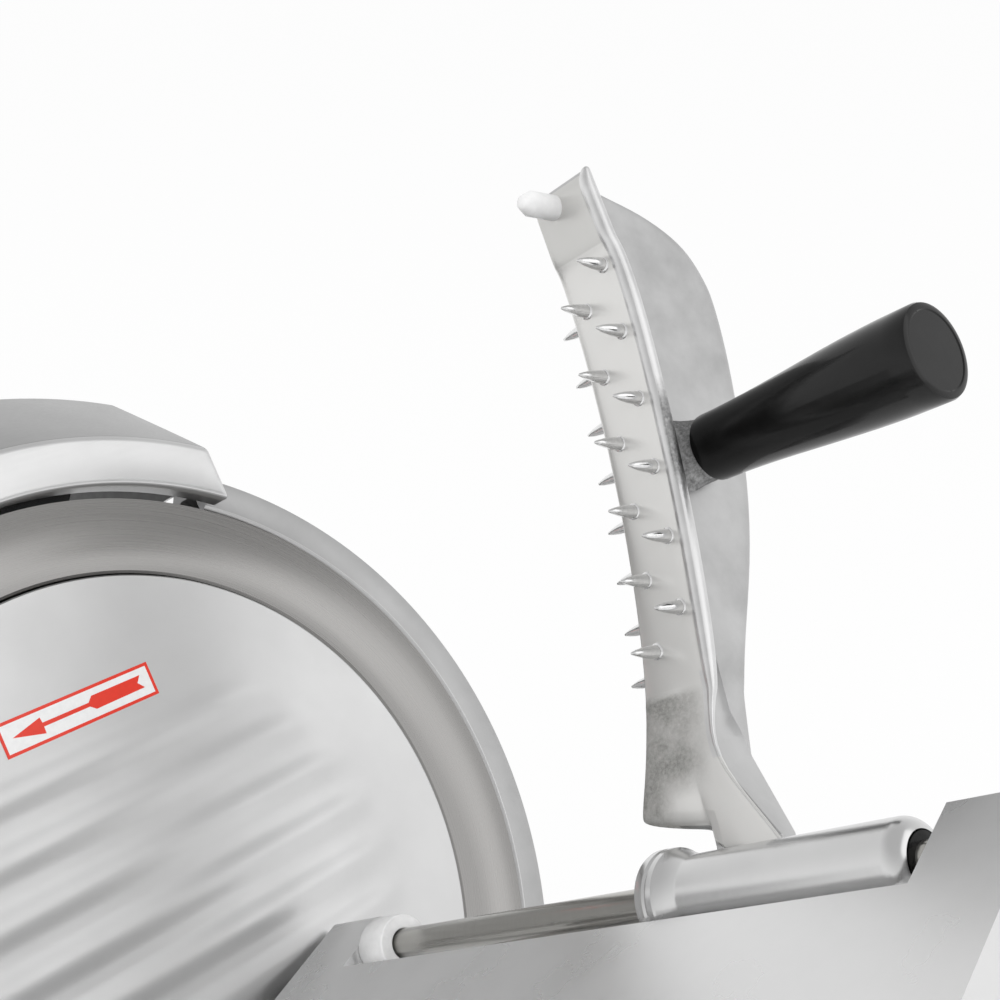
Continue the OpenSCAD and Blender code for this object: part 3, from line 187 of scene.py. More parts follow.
def vary(material, socket, mask, low, high, start=0.35, end=0.65):
    """Lets one of the shader's numbers run from low to high with a mask."""
    tree = material.node_tree
    ranged = wire(tree, "MapRange", mask, From_Min=start, From_Max=end, To_Min=low, To_Max=high)
    tree.links.new(ranged.outputs[0], tree.nodes["Principled BSDF"].inputs[socket])


def tint(material, mask, dark, light, start=0.35, end=0.65):
    """Lets the colour run between two tones with a mask."""
    tree = material.node_tree
    ramp = wire(tree, "ValToRGB", mask)
    for element, place, tone in zip(ramp.color_ramp.elements, (start, end), (dark, light)):
        element.position = place
        element.color = (*tone, 1.0)
    tree.links.new(ramp.outputs["Color"], tree.nodes["Principled BSDF"].inputs["Base Color"])


def relief(material, mask, depth, strength=1.0):
    """Lets a mask raise the surface by a depth in millimetres."""
    tree = material.node_tree
    bump = wire(tree, "Bump", Strength=strength, Distance=depth * MM)
    tree.links.new(mask, bump.inputs["Height"])
    tree.links.new(bump.outputs[0], tree.nodes["Principled BSDF"].inputs["Normal"])


def grey(level):
    """A neutral tone."""
    return (level, level, level)


def dress(names, material, edge=0.0):
    """Gives construction nodes their finish and the small round that a real edge has, in millimetres."""
    for name in names:
        node = nodes[name]
        for holder in node.material_slots:
            holder.material = material
        if edge:
            node.modifiers.new("joined", "WELD").merge_threshold = 1e-6
            rounding = node.modifiers.new("edges", "BEVEL")
            rounding.width = edge * MM
            rounding.segments = 2
            rounding.limit_method = "ANGLE"
            rounding.angle_limit = math.radians(40.0)
            rounding.harden_normals = True


satin_casting = finish("satin_casting", grey(0.62), 1.0, 0.36)
skin = local_point(satin_casting, Matrix.Identity(4))
vary(satin_casting, "Roughness", grain(satin_casting, skin, (0.02, 0.02, 0.02)), 0.33, 0.4)
tint(satin_casting, grain(satin_casting, skin, (0.05, 0.05, 0.05)), grey(0.6), grey(0.635))
relief(satin_casting, grain(satin_casting, skin, (1.2, 1.2, 1.2), detail=3.0), 0.05, 0.5)
large_castings = ["base_casting", "motor_housing", "housing_cover", "gauge_turret", "carriage_leg"]
small_castings = ["sharpener_post", "gauge_bracket", "gauge_arm", "slide_block"]
dress(large_castings, satin_casting, 1.2)
dress(small_castings, satin_casting, 0.5)

# Feet and bottom
# Moulded rubber feet, each held by a screw that also carries the stainless bottom sheet. The belt is
# of the same rubber, and the screws and bearings are of dark steel.
black_rubber = finish("black_rubber", grey(0.03), 0.0, 0.75)
rubber_skin = local_point(black_rubber, Matrix.Identity(4))
tint(black_rubber, grain(black_rubber, rubber_skin, (0.3, 0.3, 0.3)), grey(0.022), grey(0.045))
relief(black_rubber, grain(black_rubber, rubber_skin, (3.0, 3.0, 3.0)), 0.04, 0.6)
dress(["rubber_feet"], black_rubber, 0.8)
dress(["drive_belt"], black_rubber)

rolled_sheet = finish("rolled_sheet", grey(0.6), 1.0, 0.3)
sheet_point = local_point(rolled_sheet, Matrix.Identity(4))
sheet_lines = grain(rolled_sheet, sheet_point, (0.03, 4.0, 4.0))
vary(rolled_sheet, "Roughness", sheet_lines, 0.24, 0.4)
tint(rolled_sheet, sheet_lines, grey(0.55), grey(0.65))
dress(["base_cover", "slice_deflector"], rolled_sheet)
dress(["switch_plate"], rolled_sheet, 0.4)

dark_steel = finish("dark_steel", grey(0.16), 1.0, 0.38)
steel_point = local_point(dark_steel, Matrix.Identity(4))
tint(dark_steel, grain(dark_steel, steel_point, (0.4, 0.4, 0.4)), grey(0.12), grey(0.2))
vary(dark_steel, "Roughness", grain(dark_steel, steel_point, (1.0, 1.0, 1.0)), 0.3, 0.5)
dress(["base_screws", "housing_screws", "blade_screws"], dark_steel)
dress(["spindle_bearings", "gauge_cam", "motor_stator"], dark_steel)


# Switches
# Two push buttons in a stainless plate on the front of the base, green to start and red to stop,
# moulded in glossy plastic over a black contact block.
def moulded(name, tone, gloss, sheen=0.5):
    """Glossy moulded plastic with a faint cloud in its sheen and a fine orange peel."""
    material = finish(name, tone, 0.0, gloss, Specular_IOR_Level=sheen)
    point = local_point(material, Matrix.Identity(4))
    vary(material, "Roughness", grain(material, point, (0.15, 0.15, 0.15)), 0.7 * gloss, 1.4 * gloss)
    relief(material, grain(material, point, (0.5, 0.5, 0.5), detail=2.0), 0.02, 0.2)
    cloud = grain(material, point, (0.3, 0.3, 0.3))
    tint(material, cloud, [0.88 * c for c in tone], [1.1 * c for c in tone])
    return material


green_plastic = moulded("green_plastic", (0.03, 0.30, 0.08), 0.25)
red_plastic = moulded("red_plastic", (0.50, 0.02, 0.015), 0.25)
black_plastic = moulded("black_plastic", grey(0.005), 0.14, 0.3)
dress(["on_button"], green_plastic, 0.5)
dress(["off_button"], red_plastic, 0.5)
# The pusher's bushes are black plastic, which also paints the shade inside the sleeve's bore.
dress(["switch_block", "cable_gland", "motor_fan", "guide_roller", "pusher_bushes"], black_plastic)
dress(["cover_knob", "sharpener_knob", "tray_lock_knob", "dial_knob"], black_plastic, 0.6)

# Drive
# The motor turns the blade's spindle through a flat belt and turned aluminium pulleys, all inside
# the housing. The rods and shafts of the machine are ground and polished steel.
turned_pulley = finish("turned_pulley", grey(0.5), 1.0, 0.35)
pulley_point = local_point(turned_pulley, blade_space)
vary(turned_pulley, "Roughness", grain(turned_pulley, pulley_point, (0.1, 0.1, 3.0)), 0.25, 0.45)
dress(["blade_pulley", "motor_pulley"], turned_pulley)


def ground_rod(name, space, per_mm, tone=1.0):
    """Bright steel with fine grinding lines in the given frame."""
    dark = Vector((0.53, 0.52, 0.49)) * tone
    light = Vector((0.6, 0.59, 0.56)) * tone
    material = finish(name, light, 1.0, 0.2)
    lines = grain(material, local_point(material, space), per_mm)
    vary(material, "Roughness", lines, 0.16, 0.24)
    tint(material, lines, dark, light)
    return material


round_steel = ground_rod("round_steel", blade_space, (0.5, 0.5, 2.0))
dress(["blade_spindle", "gauge_slide_bar", "cover_tie_rod", "motor_shaft"], round_steel)
dress(["grinding_spindle", "truing_spindle", "sharpener_springs"], round_steel)
slide_steel = ground_rod("slide_steel", Matrix.Identity(4), (0.5, 2.0, 0.5))
dress(["slide_rod", "dial_shaft"], slide_steel)

white_nylon = finish("white_nylon", grey(0.86), 0.0, 0.3, Subsurface_Weight=0.15,
                     Subsurface_Radius=(0.002, 0.002, 0.002))
nylon_point = local_point(white_nylon, blade_space)
tint(white_nylon, grain(white_nylon, nylon_point, (0.25, 0.25, 0.25)), grey(0.68), grey(0.76))
vary(white_nylon, "Roughness", grain(white_nylon, nylon_point, (0.8, 0.8, 0.8)), 0.28, 0.45)
dress(["capacitor"], white_nylon)

bronze = finish("sintered_bronze", (0.45, 0.27, 0.11), 1.0, 0.42)
bronze_point = local_point(bronze, Matrix.Identity(4))
tint(bronze, grain(bronze, bronze_point, (2.0, 2.0, 2.0)), (0.36, 0.2, 0.08), (0.52, 0.32, 0.14))
dress(["slide_bushes"], bronze)


# Blade
# A round knife of hardened steel, ground hollow behind its edge and held to the spindle by four
# screws under the knife cover. The grinding wheel leaves fine rings round its axis.
def as_piece(bm, name, space, material, body, slot, *replaced, sharp=35.0):
    """Turns a bmesh drawn in millimetres into a piece in its place, which rides on a body."""
    bmesh.ops.remove_doubles(bm, verts=bm.verts, dist=0.002)
    bmesh.ops.recalc_face_normals(bm, faces=bm.faces)
    bmesh.ops.transform(bm, matrix=space @ Matrix.Scale(MM, 4), verts=bm.verts)
    for face in bm.faces:
        face.smooth = True
    mesh = bpy.data.meshes.new(name)
    bm.to_mesh(mesh)
    bm.free()
    mesh.set_sharp_from_angle(angle=math.radians(sharp))
    mesh.materials.append(material)
    piece = bpy.data.objects.new(name, mesh)
    bpy.context.scene.collection.objects.link(piece)
    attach(piece, body)
    if replaced:
        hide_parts(*replaced)
    return piece


def turned(bm, profile, steps, angle=2 * math.pi, start=0.0, closed=True):
    """Spins a profile of (radius, height) points about z, all the way round or through an angle."""
    around = Matrix.Rotation(start, 3, "Z")
    verts = [bm.verts.new(around @ Vector((radius, 0.0, height))) for radius, height in profile]
    edges = [bm.edges.new(pair) for pair in zip(verts, verts[1:])]
    if closed:
        edges.append(bm.edges.new((verts[-1], verts[0])))
    full = abs(angle - 2 * math.pi) < 1e-6
    bmesh.ops.spin(bm, geom=verts + edges, cent=(0, 0, 0), axis=(0, 0, 1), angle=angle, steps=steps,
                   use_merge=full)


def ringed(material, space, per_mm, detail=5.0):
    """Noise in fine rings about the frame's z axis."""
    tree = material.node_tree
    parts = wire(tree, "SeparateXYZ", local_point(material, space)).outputs
    flat = wire(tree, "CombineXYZ", parts["X"], parts["Y"]).outputs[0]
    radius = wire(tree, "VectorMath", flat, operation="LENGTH").outputs["Value"]
    around = wire(tree, "VectorMath", flat, operation="NORMALIZE").outputs[0]
    bearing = wire(tree, "SeparateXYZ", around).outputs
    rings = wire(tree, "Math", radius, operation="MULTIPLY")
    rings.inputs[1].default_value = per_mm
    point = wire(tree, "CombineXYZ", bearing["X"], bearing["Y"], rings.outputs[0]).outputs[0]
    return wire(tree, "TexNoise", point, Scale=1.0, Detail=detail, Roughness=0.65).outputs[0]


blade_r = 125.0
recess_r = 103.2
recess_d = 9.0
blade_back = 13.0
ring_d = 2.2
hollow_d = 1.7
rim_w = 0.7
spigot_r = 17.05
edge_t = 0.4
back_bevel = 4.0
back_bevel_d = 3.5
recess_round = 1.0
floor_t = 3.0
hub_r = 60.0
ring_steps = 14
ground_ring = []
for i in range(ring_steps + 1):
    t = i / ring_steps
    depth = ring_d * (1 - t) + 4 * hollow_d * t * (1 - t)
    ground_ring.append((recess_r + rim_w + t * (blade_r - recess_r - rim_w), -depth))
blade_profile = [(spigot_r, -blade_back), (spigot_r, -recess_d), (recess_r - recess_round, -recess_d)]
blade_profile += [(recess_r, -recess_d + recess_round), (recess_r, -ring_d - rim_w)] + ground_ring
blade_profile += [(blade_r, -edge_t), (blade_r - back_bevel, -back_bevel_d),
                  (recess_r, -recess_d - floor_t), (hub_r, -blade_back)]
blade_mesh = bmesh.new()
turned(blade_mesh, blade_profile, 240)
ground_steel = finish("ground_steel", grey(0.5), 1.0, 0.26)
blade_rings = ringed(ground_steel, blade_space, 9.0)
vary(ground_steel, "Roughness", blade_rings, 0.26, 0.31)
tint(ground_steel, blade_rings, (0.345, 0.338, 0.33), (0.385, 0.378, 0.37))
as_piece(blade_mesh, "blade_knife", blade_space, ground_steel, "blade_rotor", "stainless", "blade",
         sharp=25.0)

# Knife cover
# A cast aluminium disc that stays still inside the turning blade, held from behind by a tie rod.
# Soft ridges across its lower half keep the food from sticking, and its skin is satin anodised.
cover_r = 102.5
cover_face = -1.2
cover_t = 5.0
ridge_pitch = 15.2
ridge_top = 53.0
ridge_count = 8
ridge_h = 1.0
ridge_half = 6.4
ridge_end = 83.0
ridge_fade = 17.0
cover_hole = 9.0
cover_rings = 104
cover_profile = [(cover_r * i / cover_rings, cover_face) for i in range(cover_rings)]
cover_profile += [(cover_r - 0.5, cover_face), (cover_r - 0.1, cover_face - 0.3),
                  (cover_r, cover_face - 0.8), (cover_r, cover_face - cover_t),
                  (cover_hole, cover_face - cover_t)]
cover_mesh = bmesh.new()
turned(cover_mesh, cover_profile, 256, closed=False)
for vert in cover_mesh.verts:
    if vert.co.z > cover_face - 0.01:
        nearest = min(max(round((ridge_top - vert.co.y) / ridge_pitch), 0), ridge_count - 1)
        off = abs(vert.co.y - ridge_top + nearest * ridge_pitch) / ridge_half
        fade = min(max((ridge_end - vert.co.xy.length) / ridge_fade, 0.0), 1.0)
        if off < 1.0:
            vert.co.z += ridge_h * fade * fade * (3 - 2 * fade) * (0.5 + 0.5 * math.cos(math.pi * off))
satin_cover = finish("satin_cover", grey(0.66), 1.0, 0.38)
cover_point = local_point(satin_cover, blade_space)
vary(satin_cover, "Roughness", grain(satin_cover, cover_point, (0.02, 0.02, 0.02)), 0.35, 0.42)
tint(satin_cover, grain(satin_cover, cover_point, (0.03, 0.03, 0.03)), grey(0.645), grey(0.675))
relief(satin_cover, grain(satin_cover, cover_point, (2.0, 2.0, 2.0), detail=2.0), 0.01, 0.3)
as_piece(cover_mesh, "cover_disc", blade_space, satin_cover, "frame", "polished_aluminium", "knife_cover")

# Direction sticker
# A printed film on the knife cover: a red frame and a red arrow on white, which shows how the
# blade turns. The print is two tones of one thin sheet.
film_t = 0.06
ink_t = 0.02
sticker_n = cover_face + film_t
sticker_low = Vector((-23.6, 62.2))
sticker_high = Vector((25.7, 72.0))
border = 1.3
arrow = [(-20.15, 67.0), (-10.8, 69.3), (-10.6, 67.69), (4.2, 67.69), (5.75, 69.2), (22.07, 69.2),
         (20.55, 67.3), (22.27, 65.4), (5.85, 65.2), (4.2, 66.53), (-10.6, 66.53), (-10.7, 64.6)]


def print_tone(name, tone):
    """Printed film with a faint unevenness of its ink."""
    material = finish(name, tone, 0.0, 0.35, Coat_Weight=0.2)
    point = local_point(material, blade_space)
    tint(material, grain(material, point, (0.6, 0.6, 0.6)), [0.94 * c for c in tone], tone)
    return material


def flat_face(bm, outline, height):
    """A flat face on an outline at one height."""
    return bm.faces.new([bm.verts.new((x, y, height)) for x, y in outline])


def face_middles(piece, space):
    """Each face of a piece with its middle in a frame, in millimetres."""
    inward = space.inverted()
    return [(face, inward @ face.center / MM) for face in piece.data.polygons]


film_outline = [sticker_low, (sticker_high.x, sticker_low.y), sticker_high, (sticker_low.x, sticker_high.y)]
film_mesh = bmesh.new()
film = flat_face(film_mesh, film_outline, sticker_n)
film.normal_update()
bmesh.ops.inset_individual(film_mesh, faces=[film], thickness=border)
flat_face(film_mesh, arrow, sticker_n + ink_t)
white_film = print_tone("white_film", grey(0.82))
red_ink = print_tone("red_ink", (0.72, 0.03, 0.01))
sticker = as_piece(film_mesh, "direction_sticker", blade_space, white_film, "frame", "white_nylon")
sticker.data.materials.append(red_ink)
for face, middle in face_middles(sticker, blade_space):
    across_film = sticker_low.x + border < middle.x < sticker_high.x - border
    up_film = sticker_low.y + border < middle.y < sticker_high.y - border
    if len(face.vertices) > 4 or not (across_film and up_film):
        face.material_index = 1


# Guard ring
# A painted casting round the lower and rear sides of the blade, bolted to the motor housing by its
# web. Its lip stands a hair behind the cutting edge, with a painted highlight of bright satin metal
# along the lip.
def close_ends(bm):
    """Fills the open ends of a part turn."""
    bmesh.ops.holes_fill(bm, edges=[edge for edge in bm.edges if edge.is_boundary], sides=0)


guard_in = 125.7
guard_out = 136.4
guard_face = -0.6
guard_back = -22.0
guard_wall = 3.5
web_r = 100.0
highlight_lip_w = 1.2
guard_start = math.radians(-145.0)
guard_sweep = math.radians(204.0)
guard_profile = [(guard_in, guard_face - 2.6), (guard_in, guard_face - 0.9),
                 (guard_in + 1.0, guard_face - 0.1), (guard_in + 1.3, guard_face),
                 (guard_out - 2.2, guard_face), (guard_out - 0.7, guard_face - 0.5),
                 (guard_out, guard_face - 2.0), (guard_out, guard_back), (web_r, guard_back),
                 (web_r, guard_back + guard_wall), (guard_out - 5.5, guard_back + guard_wall),
                 (guard_out - guard_wall, guard_back + 5.5), (guard_out - guard_wall, guard_face - 8.0)]
guard_mesh = bmesh.new()
turned(guard_mesh, guard_profile, 220, guard_sweep, guard_start)
close_ends(guard_mesh)
grey_paint = finish("grey_paint", grey(0.46), 0.8, 0.42)
paint_point = local_point(grey_paint, blade_space)
vary(grey_paint, "Roughness", grain(grey_paint, paint_point, (0.06, 0.06, 0.06)), 0.36, 0.5)
tint(grey_paint, grain(grey_paint, paint_point, (0.12, 0.12, 0.12)), grey(0.44), grey(0.48))
relief(grey_paint, grain(grey_paint, paint_point, (1.5, 1.5, 1.5)), 0.03, 0.5)
guard = as_piece(guard_mesh, "guard_casting", blade_space, grey_paint, "frame", "painted_grey",
                 "guard_ring")
guard.data.materials.append(satin_cover)
# The faces along the lip take the cover's bright satin metal as a painted highlight.
for face, middle in face_middles(guard, blade_space):
    if middle.xy.length < guard_in + highlight_lip_w and face.normal.dot(blade_axis) > 0.3:
        face.material_index = 1
dark_paint = finish("dark_paint", grey(0.05), 0.0, 0.55)
dark_point = local_point(dark_paint, blade_space)
tint(dark_paint, grain(dark_paint, dark_point, (0.2, 0.2, 0.2)), grey(0.035), grey(0.07))
relief(dark_paint, grain(dark_paint, dark_point, (1.5, 1.5, 1.5)), 0.05, 0.5)
dress(["sharpener_body"], dark_paint, 0.8)

# Sharpener
# A folded cover over the two stones, of one brushed aluminium: a bright band along its front, and a
# slope behind it whose darker tone is painted shade. It lifts off when the black knob is undone. The
# stones are bonded grit on steel spindles.
hood_half = 67.5
band_r0 = 126.5
band_r1 = 140.5
hood_r = 166.0
hood_front = 10.0
hood_lip = 2.0
hood_slope = -28.0
hood_back = -74.0
hood_wall = 2.5
hood_round = 1.8
under_r = band_r0 + 8.0
hood_turn = math.asin(hood_half / band_r0) + math.radians(3.0)
hood_profile = [(band_r0, hood_lip), (band_r0, hood_front), (band_r1, hood_front), (hood_r, hood_slope),
                (hood_r, hood_back), (under_r, hood_back), (under_r, hood_lip)]
hood_mesh = bmesh.new()
turned(hood_mesh, hood_profile, 48, 2 * hood_turn, math.pi / 2 - hood_turn)
for side in (-1.0, 1.0):
    everything = hood_mesh.verts[:] + hood_mesh.edges[:] + hood_mesh.faces[:]
    bmesh.ops.bisect_plane(hood_mesh, geom=everything, plane_co=(side * hood_half, 0.0, 0.0),
                           plane_no=(side, 0.0, 0.0), clear_outer=True)
close_ends(hood_mesh)
bmesh.ops.recalc_face_normals(hood_mesh, faces=hood_mesh.faces)
open_side = []
for face in hood_mesh.faces:
    middle = face.calc_center_median()
    inner = middle.xy.length < under_r + 0.5 and middle.z < hood_lip + 0.1
    if abs(face.normal.x) < 0.95 and (inner or middle.z < hood_back + 0.1):
        open_side.append(face)
bmesh.ops.delete(hood_mesh, geom=open_side, context="FACES")
hood_edges = [edge for edge in hood_mesh.edges
              if not edge.is_boundary and edge.calc_face_angle(0.0) > math.radians(20.0)]
bmesh.ops.bevel(hood_mesh, geom=hood_edges, offset=hood_round, offset_type="OFFSET", segments=4,
                profile=0.5, affect="EDGES", material=-1, clamp_overlap=True)


def hood_skin(name, tone):
    """Brushed aluminium with lines along the hood."""
    material = finish(name, grey(tone), 1.0, 0.34)
    point = local_point(material, blade_space)
    vary(material, "Roughness", grain(material, point, (0.04, 3.0, 3.0)), 0.3, 0.38)
    tint(material, grain(material, point, (0.03, 0.03, 0.03)), grey(tone - 0.02), grey(tone + 0.02))
    return material


hood = as_piece(hood_mesh, "sharpener_hood", blade_space, hood_skin("hood_band", 0.7), "sharpener_lid",
                "polished_aluminium", "sharpener_cover")
# The slope takes a darker copy of the band's aluminium, which is painted shade.
hood.data.materials.append(hood_skin("hood_slope", 0.42))
hood.data.materials.append(dark_paint)
for face in hood.data.polygons:
    if face.normal.dot(blade_axis) < 0.8:
        face.material_index = 1
hood_sheet = hood.modifiers.new("wall", "SOLIDIFY")
hood_sheet.thickness = hood_wall * MM
hood_sheet.offset = -1.0
hood_sheet.material_offset = 2


def bonded_grit(name, dark, light):
    """Abrasive grit in a ceramic bond."""
    material = finish(name, dark, 0.0, 0.9)
    point = local_point(material, blade_space)
    specks = grain(material, point, (5.0, 5.0, 5.0), detail=2.0)
    tint(material, specks, dark, light)
    relief(material, specks, 0.2, 0.8)
    return material


dress(["grinding_stone"], bonded_grit("dark_grit", grey(0.06), grey(0.2)))
dress(["truing_stone"], bonded_grit("white_grit", grey(0.6), grey(0.85)))


# Gauge plate
# The flat ridged plate that the food slides against, set back by the dial through a cam to give the
# slice its thickness. It is polished aluminium, scuffed along the carriage's travel.
def polished(name, space, tone, lines, gloss=0.2, metal=1.0):
    """Polished aluminium with faint buffing lines in the given frame; a dull skin is less metal."""
    material = finish(name, grey(tone), metal, gloss)
    point = local_point(material, space)
    buffing = grain(material, point, lines)
    vary(material, "Roughness", buffing, 0.95 * gloss, 1.1 * gloss)
    tint(material, grain(material, point, (0.03, 0.03, 0.03)), grey(tone - 0.02), grey(tone + 0.02))
    relief(material, buffing, 0.002, 0.1)
    return material


gauge_polish = polished("gauge_polish", blade_space, 0.62, (0.03, 2.5, 2.5))
dress(["gauge_plate"], gauge_polish, 0.8)

# Dial marks
# White marks printed round the skirt of the dial, one for each half millimetre of the slice and a
# longer one for each whole millimetre. A dark index on the turret above them shows the setting.
dial_at = Vector(joints["dial_turn"]["pos_m"])
dial_knob = nodes["dial_knob"]
dial_back = max((dial_knob.matrix_world @ vert.co).y for vert in dial_knob.data.vertices)
dial_space = Matrix.Translation((dial_at.x, dial_back, dial_at.z)) @ Matrix.Rotation(math.pi / 2, 4, "X")
skirt_face = 4.0
mark_r = 30.2
mark_w = 0.7
mark_t = 0.2
half_mark = 1.5
whole_mark = 2.6
mark_step = math.radians(12.5)
mark_count = 25
turret_face = -2.0
index_outline = [(-1.8, 37.4), (1.8, 37.4), (0.0, 33.2)]
mark_mesh = bmesh.new()
for i in range(mark_count):
    mark_l = half_mark if i % 2 else whole_mark
    turn = Matrix.Rotation(math.pi / 2 + i * mark_step, 4, "Z")
    place = turn @ Matrix.Translation((mark_r - mark_l / 2, 0.0, skirt_face))
    stroke = Matrix.Diagonal((mark_l, mark_w, mark_t, 1.0))
    bmesh.ops.create_cube(mark_mesh, size=1.0, matrix=place @ stroke)
as_piece(mark_mesh, "dial_marks", dial_space, white_film, "dial", "white_nylon")
index_mesh = bmesh.new()
flat_face(index_mesh, index_outline, turret_face + film_t)
as_piece(index_mesh, "dial_index", dial_space, dark_paint, "frame", "painted_grey")

# Carriage
# The tray hangs on a leg that slides along a rod in the base. It is a polished aluminium casting
# with two ears that hold the pusher's rod, and an upright fence on the operator's side.
tray_slope = math.radians(17.9)
rod_at = blade_space.inverted() @ Vector(joints["pusher_swing"]["pos_m"])
rod_space = blade_space @ Matrix.Translation((rod_at.x, rod_at.y, 0.0))
tray_space = rod_space @ Matrix.Rotation(tray_slope, 4, "Z")
tray_polish = polished("tray_polish", tray_space, 0.74, (0.03, 0.03, 0.03), 0.28, 0.86)
dress(["carriage_tray", "tray_fence"], tray_polish, 1.6)

# Pusher rod and its ring
# A ground steel rod between the tray's ears, with a white nylon ring that stops the pusher beside
# the inner ear.
rod_steel = ground_rod("rod_steel", tray_space, (0.1, 0.1, 6.0), 0.8)
dress(["pusher_rod"], rod_steel, 0.4)
dress(["rod_end_ring"], white_nylon, 0.5)

# Pusher plate
# The upper part of the pusher casting: a spiked flange with a hollow curve, a beaded edge and a
# thin plate behind it. The flange is machined above a crease and left as cast below it.
pusher_lean = math.radians(-18.0)
pusher_space = rod_space @ Matrix.Rotation(pusher_lean, 4, "Z")
plate_n0 = 136.5
plate_n1 = 140.5
bead_n = 158.9
hollow_r = 440.0
hollow_o = 14.0
hollow_l = 100.0
crease_l = 45.0
flare = 0.06
edge_n = 137.0
edge_bow = 0.00033
edge_spread = 0.045
spread_l = 60.0
bead_taper = 0.085
bead_straight = 146.0
bead_h = 0.4
bead_grows = (38.0, 54.0)
foot_l = 16.5
foot_end = 13.0
foot_rise = 0.14
foot_rises = (30.0, 13.0)
foot_corner = 2.0
foot_corner_w = 2.0
foot_lean = 0.7
head_rise = 0.015
head_rises = (165.0, 178.0)
head_lean = 0.9
rim_in = 2.4
rim_drawn_in = (46.0, 34.0)
rim_depth = 2.9
skin_depth = 2.0
arm_l = 31.0
arm_spread = 0.85
arm_left = 154.5
arm_drop = 6.0
arm_room = 1.4
arm_room_along = (26.0, 15.0)
arm_room_across = (146.0, 157.0)
notch_step = 4.8
notch_w = 0.35
notch_along = (17.0, 24.0)
crease_h = 0.45
crease_rise = 0.13
crease_reach = 3.0
crease_across = (154.0, 147.0)
top_l = 175.4
pad_l = 158.6
pad_t = 1.2


def flange_o(along):
    """Depth of the flange's spiked side behind the rod, at a length along the plate."""
    hollow = hollow_o - hollow_r + math.sqrt(hollow_r ** 2 - (along - hollow_l) ** 2)
    return hollow - flare * max(crease_l - along, 0.0) - (pad_t if along > pad_l else 0.0)


def left_edge(along):
    """Where the flange's bowed left edge lies, which spreads a little towards the foot."""
    return edge_n - edge_bow * (along - hollow_l) ** 2 - edge_spread * max(spread_l - along, 0.0)


def ramp(value, start, end):
    """Runs from nought to one between two values."""
    return min(max((value - start) / (end - start), 0.0), 1.0)


def ridge_n(along):
    """Where the beaded edge lies, which tapers towards the head and runs out along the arm below."""
    drawn_in = bead_taper * max(along - bead_straight, 0.0) + rim_in * ramp(along, *rim_drawn_in)
    return bead_n - drawn_in + arm_spread * max(arm_l - along, 0.0)


def flange_section(along, outer_o, outer_l):
    """One cut through the flange and the plate, as a ring of points."""
    reach = outer_o - flange_o(along)
    edge = left_edge(along)
    at_foot = ramp(along, foot_l, foot_end)
    bead = ridge_n(along - arm_drop * at_foot)
    beaded = ramp(along, *bead_grows)
    flat = 1.0 - beaded
    rib = bead_h * beaded
    bead_w = 0.25 + 0.75 * beaded
    head = head_lean * max(along - top_l, 0.0)
    worn = head + foot_lean * max(foot_l - along, 0.0)
    cut = arm_left - notch_step * ramp(along, *notch_along)
    crease = crease_h * max(1.0 - abs(along - crease_l), 0.0)
    back_side = [(reach, plate_n0 + 2.7), (0.98 * reach, plate_n1), (0.9 * reach, plate_n1),
                 (0.6 * reach, plate_n1), (0.38 * reach, plate_n1 + 0.2), (9.4, 141.2), (6.4, 142.8),
                 (5.1, 145.4), (4.7, cut - 1.6), (4.6, cut - notch_w), (4.5, cut + notch_w),
                 (4.4, bead - 3.9), (4.4, bead - 3.5), (4.4, bead - 2.8 - 0.6 * flat),
                 (4.2 - 1.2 * flat, bead - 1.0 - 1.2 * flat), (2.6 - 1.9 * flat, bead - 0.15 * flat)]
    front_side = [(reach, plate_n0 + 1.3), (0.98 * reach, plate_n0), (0.9 * reach, plate_n0),
                  (0.6 * reach, plate_n0), (0.38 * reach, plate_n0), (5.0, edge), (worn + 0.9, edge),
                  (worn - crease, edge + 1.2), (worn - crease, 145.0), (worn, cut - 1.6),
                  (worn, cut - notch_w), (head, cut + notch_w), (head, bead - 3.6 * bead_w),
                  (head + 0.05, bead - 3.1 * bead_w), (0.8 * head - rib, bead - 2.2 * bead_w),
                  (0.4 * head, bead - 0.4 * bead_w)]
    at_crease = max(1.0 - abs(along - crease_l) / crease_reach, 0.0)
    points = []
    for behind, across in back_side + front_side[::-1]:
        low = along - arm_drop * at_foot * ramp(across, arm_left - notch_w, arm_left + notch_w)
        level = low + (outer_l - along) * behind / reach
        level += head_rise * max(across - edge, 0.0) * ramp(along, *head_rises)
        level += foot_rise * max(bead_n - across, 0.0) * ramp(along, *foot_rises)
        level += foot_corner * ramp(across, edge + foot_corner_w, edge) * at_foot
        level += crease_rise * (across - edge) * at_crease * ramp(across, *crease_across)
        eased = arm_room * ramp(low, *arm_room_along) * ramp(across, *arm_room_across)
        points.append(Vector((flange_o(low) + behind + eased, level, across)))
    return points


def loft(bm, sections):
    """Extrudes a ring of points from each section to the next and closes both ends with quads."""
    ring = [bm.verts.new(point) for point in sections[0]]
    edges = [bm.edges.new(pair) for pair in zip(ring, ring[1:] + ring[:1])]
    ends = [ring]
    for points in sections[1:]:
        made = bmesh.ops.extrude_edge_only(bm, edges=edges)["geom"]
        fresh = {item for item in made if isinstance(item, bmesh.types.BMVert)}
        drawn = [item for item in made if isinstance(item, bmesh.types.BMEdge)]
        edges = [edge for edge in drawn if fresh.issuperset(edge.verts)]
        ring = [next(edge.other_vert(vert) for edge in vert.link_edges if edge.other_vert(vert) in fresh)
                for vert in ring]
        for vert, point in zip(ring, points):
            vert.co = point
    ends.append(ring)
    for ring in ends:
        for i in range(len(ring) // 2 - 1):
            bm.faces.new((ring[i], ring[i + 1], ring[-2 - i], ring[-1 - i]))


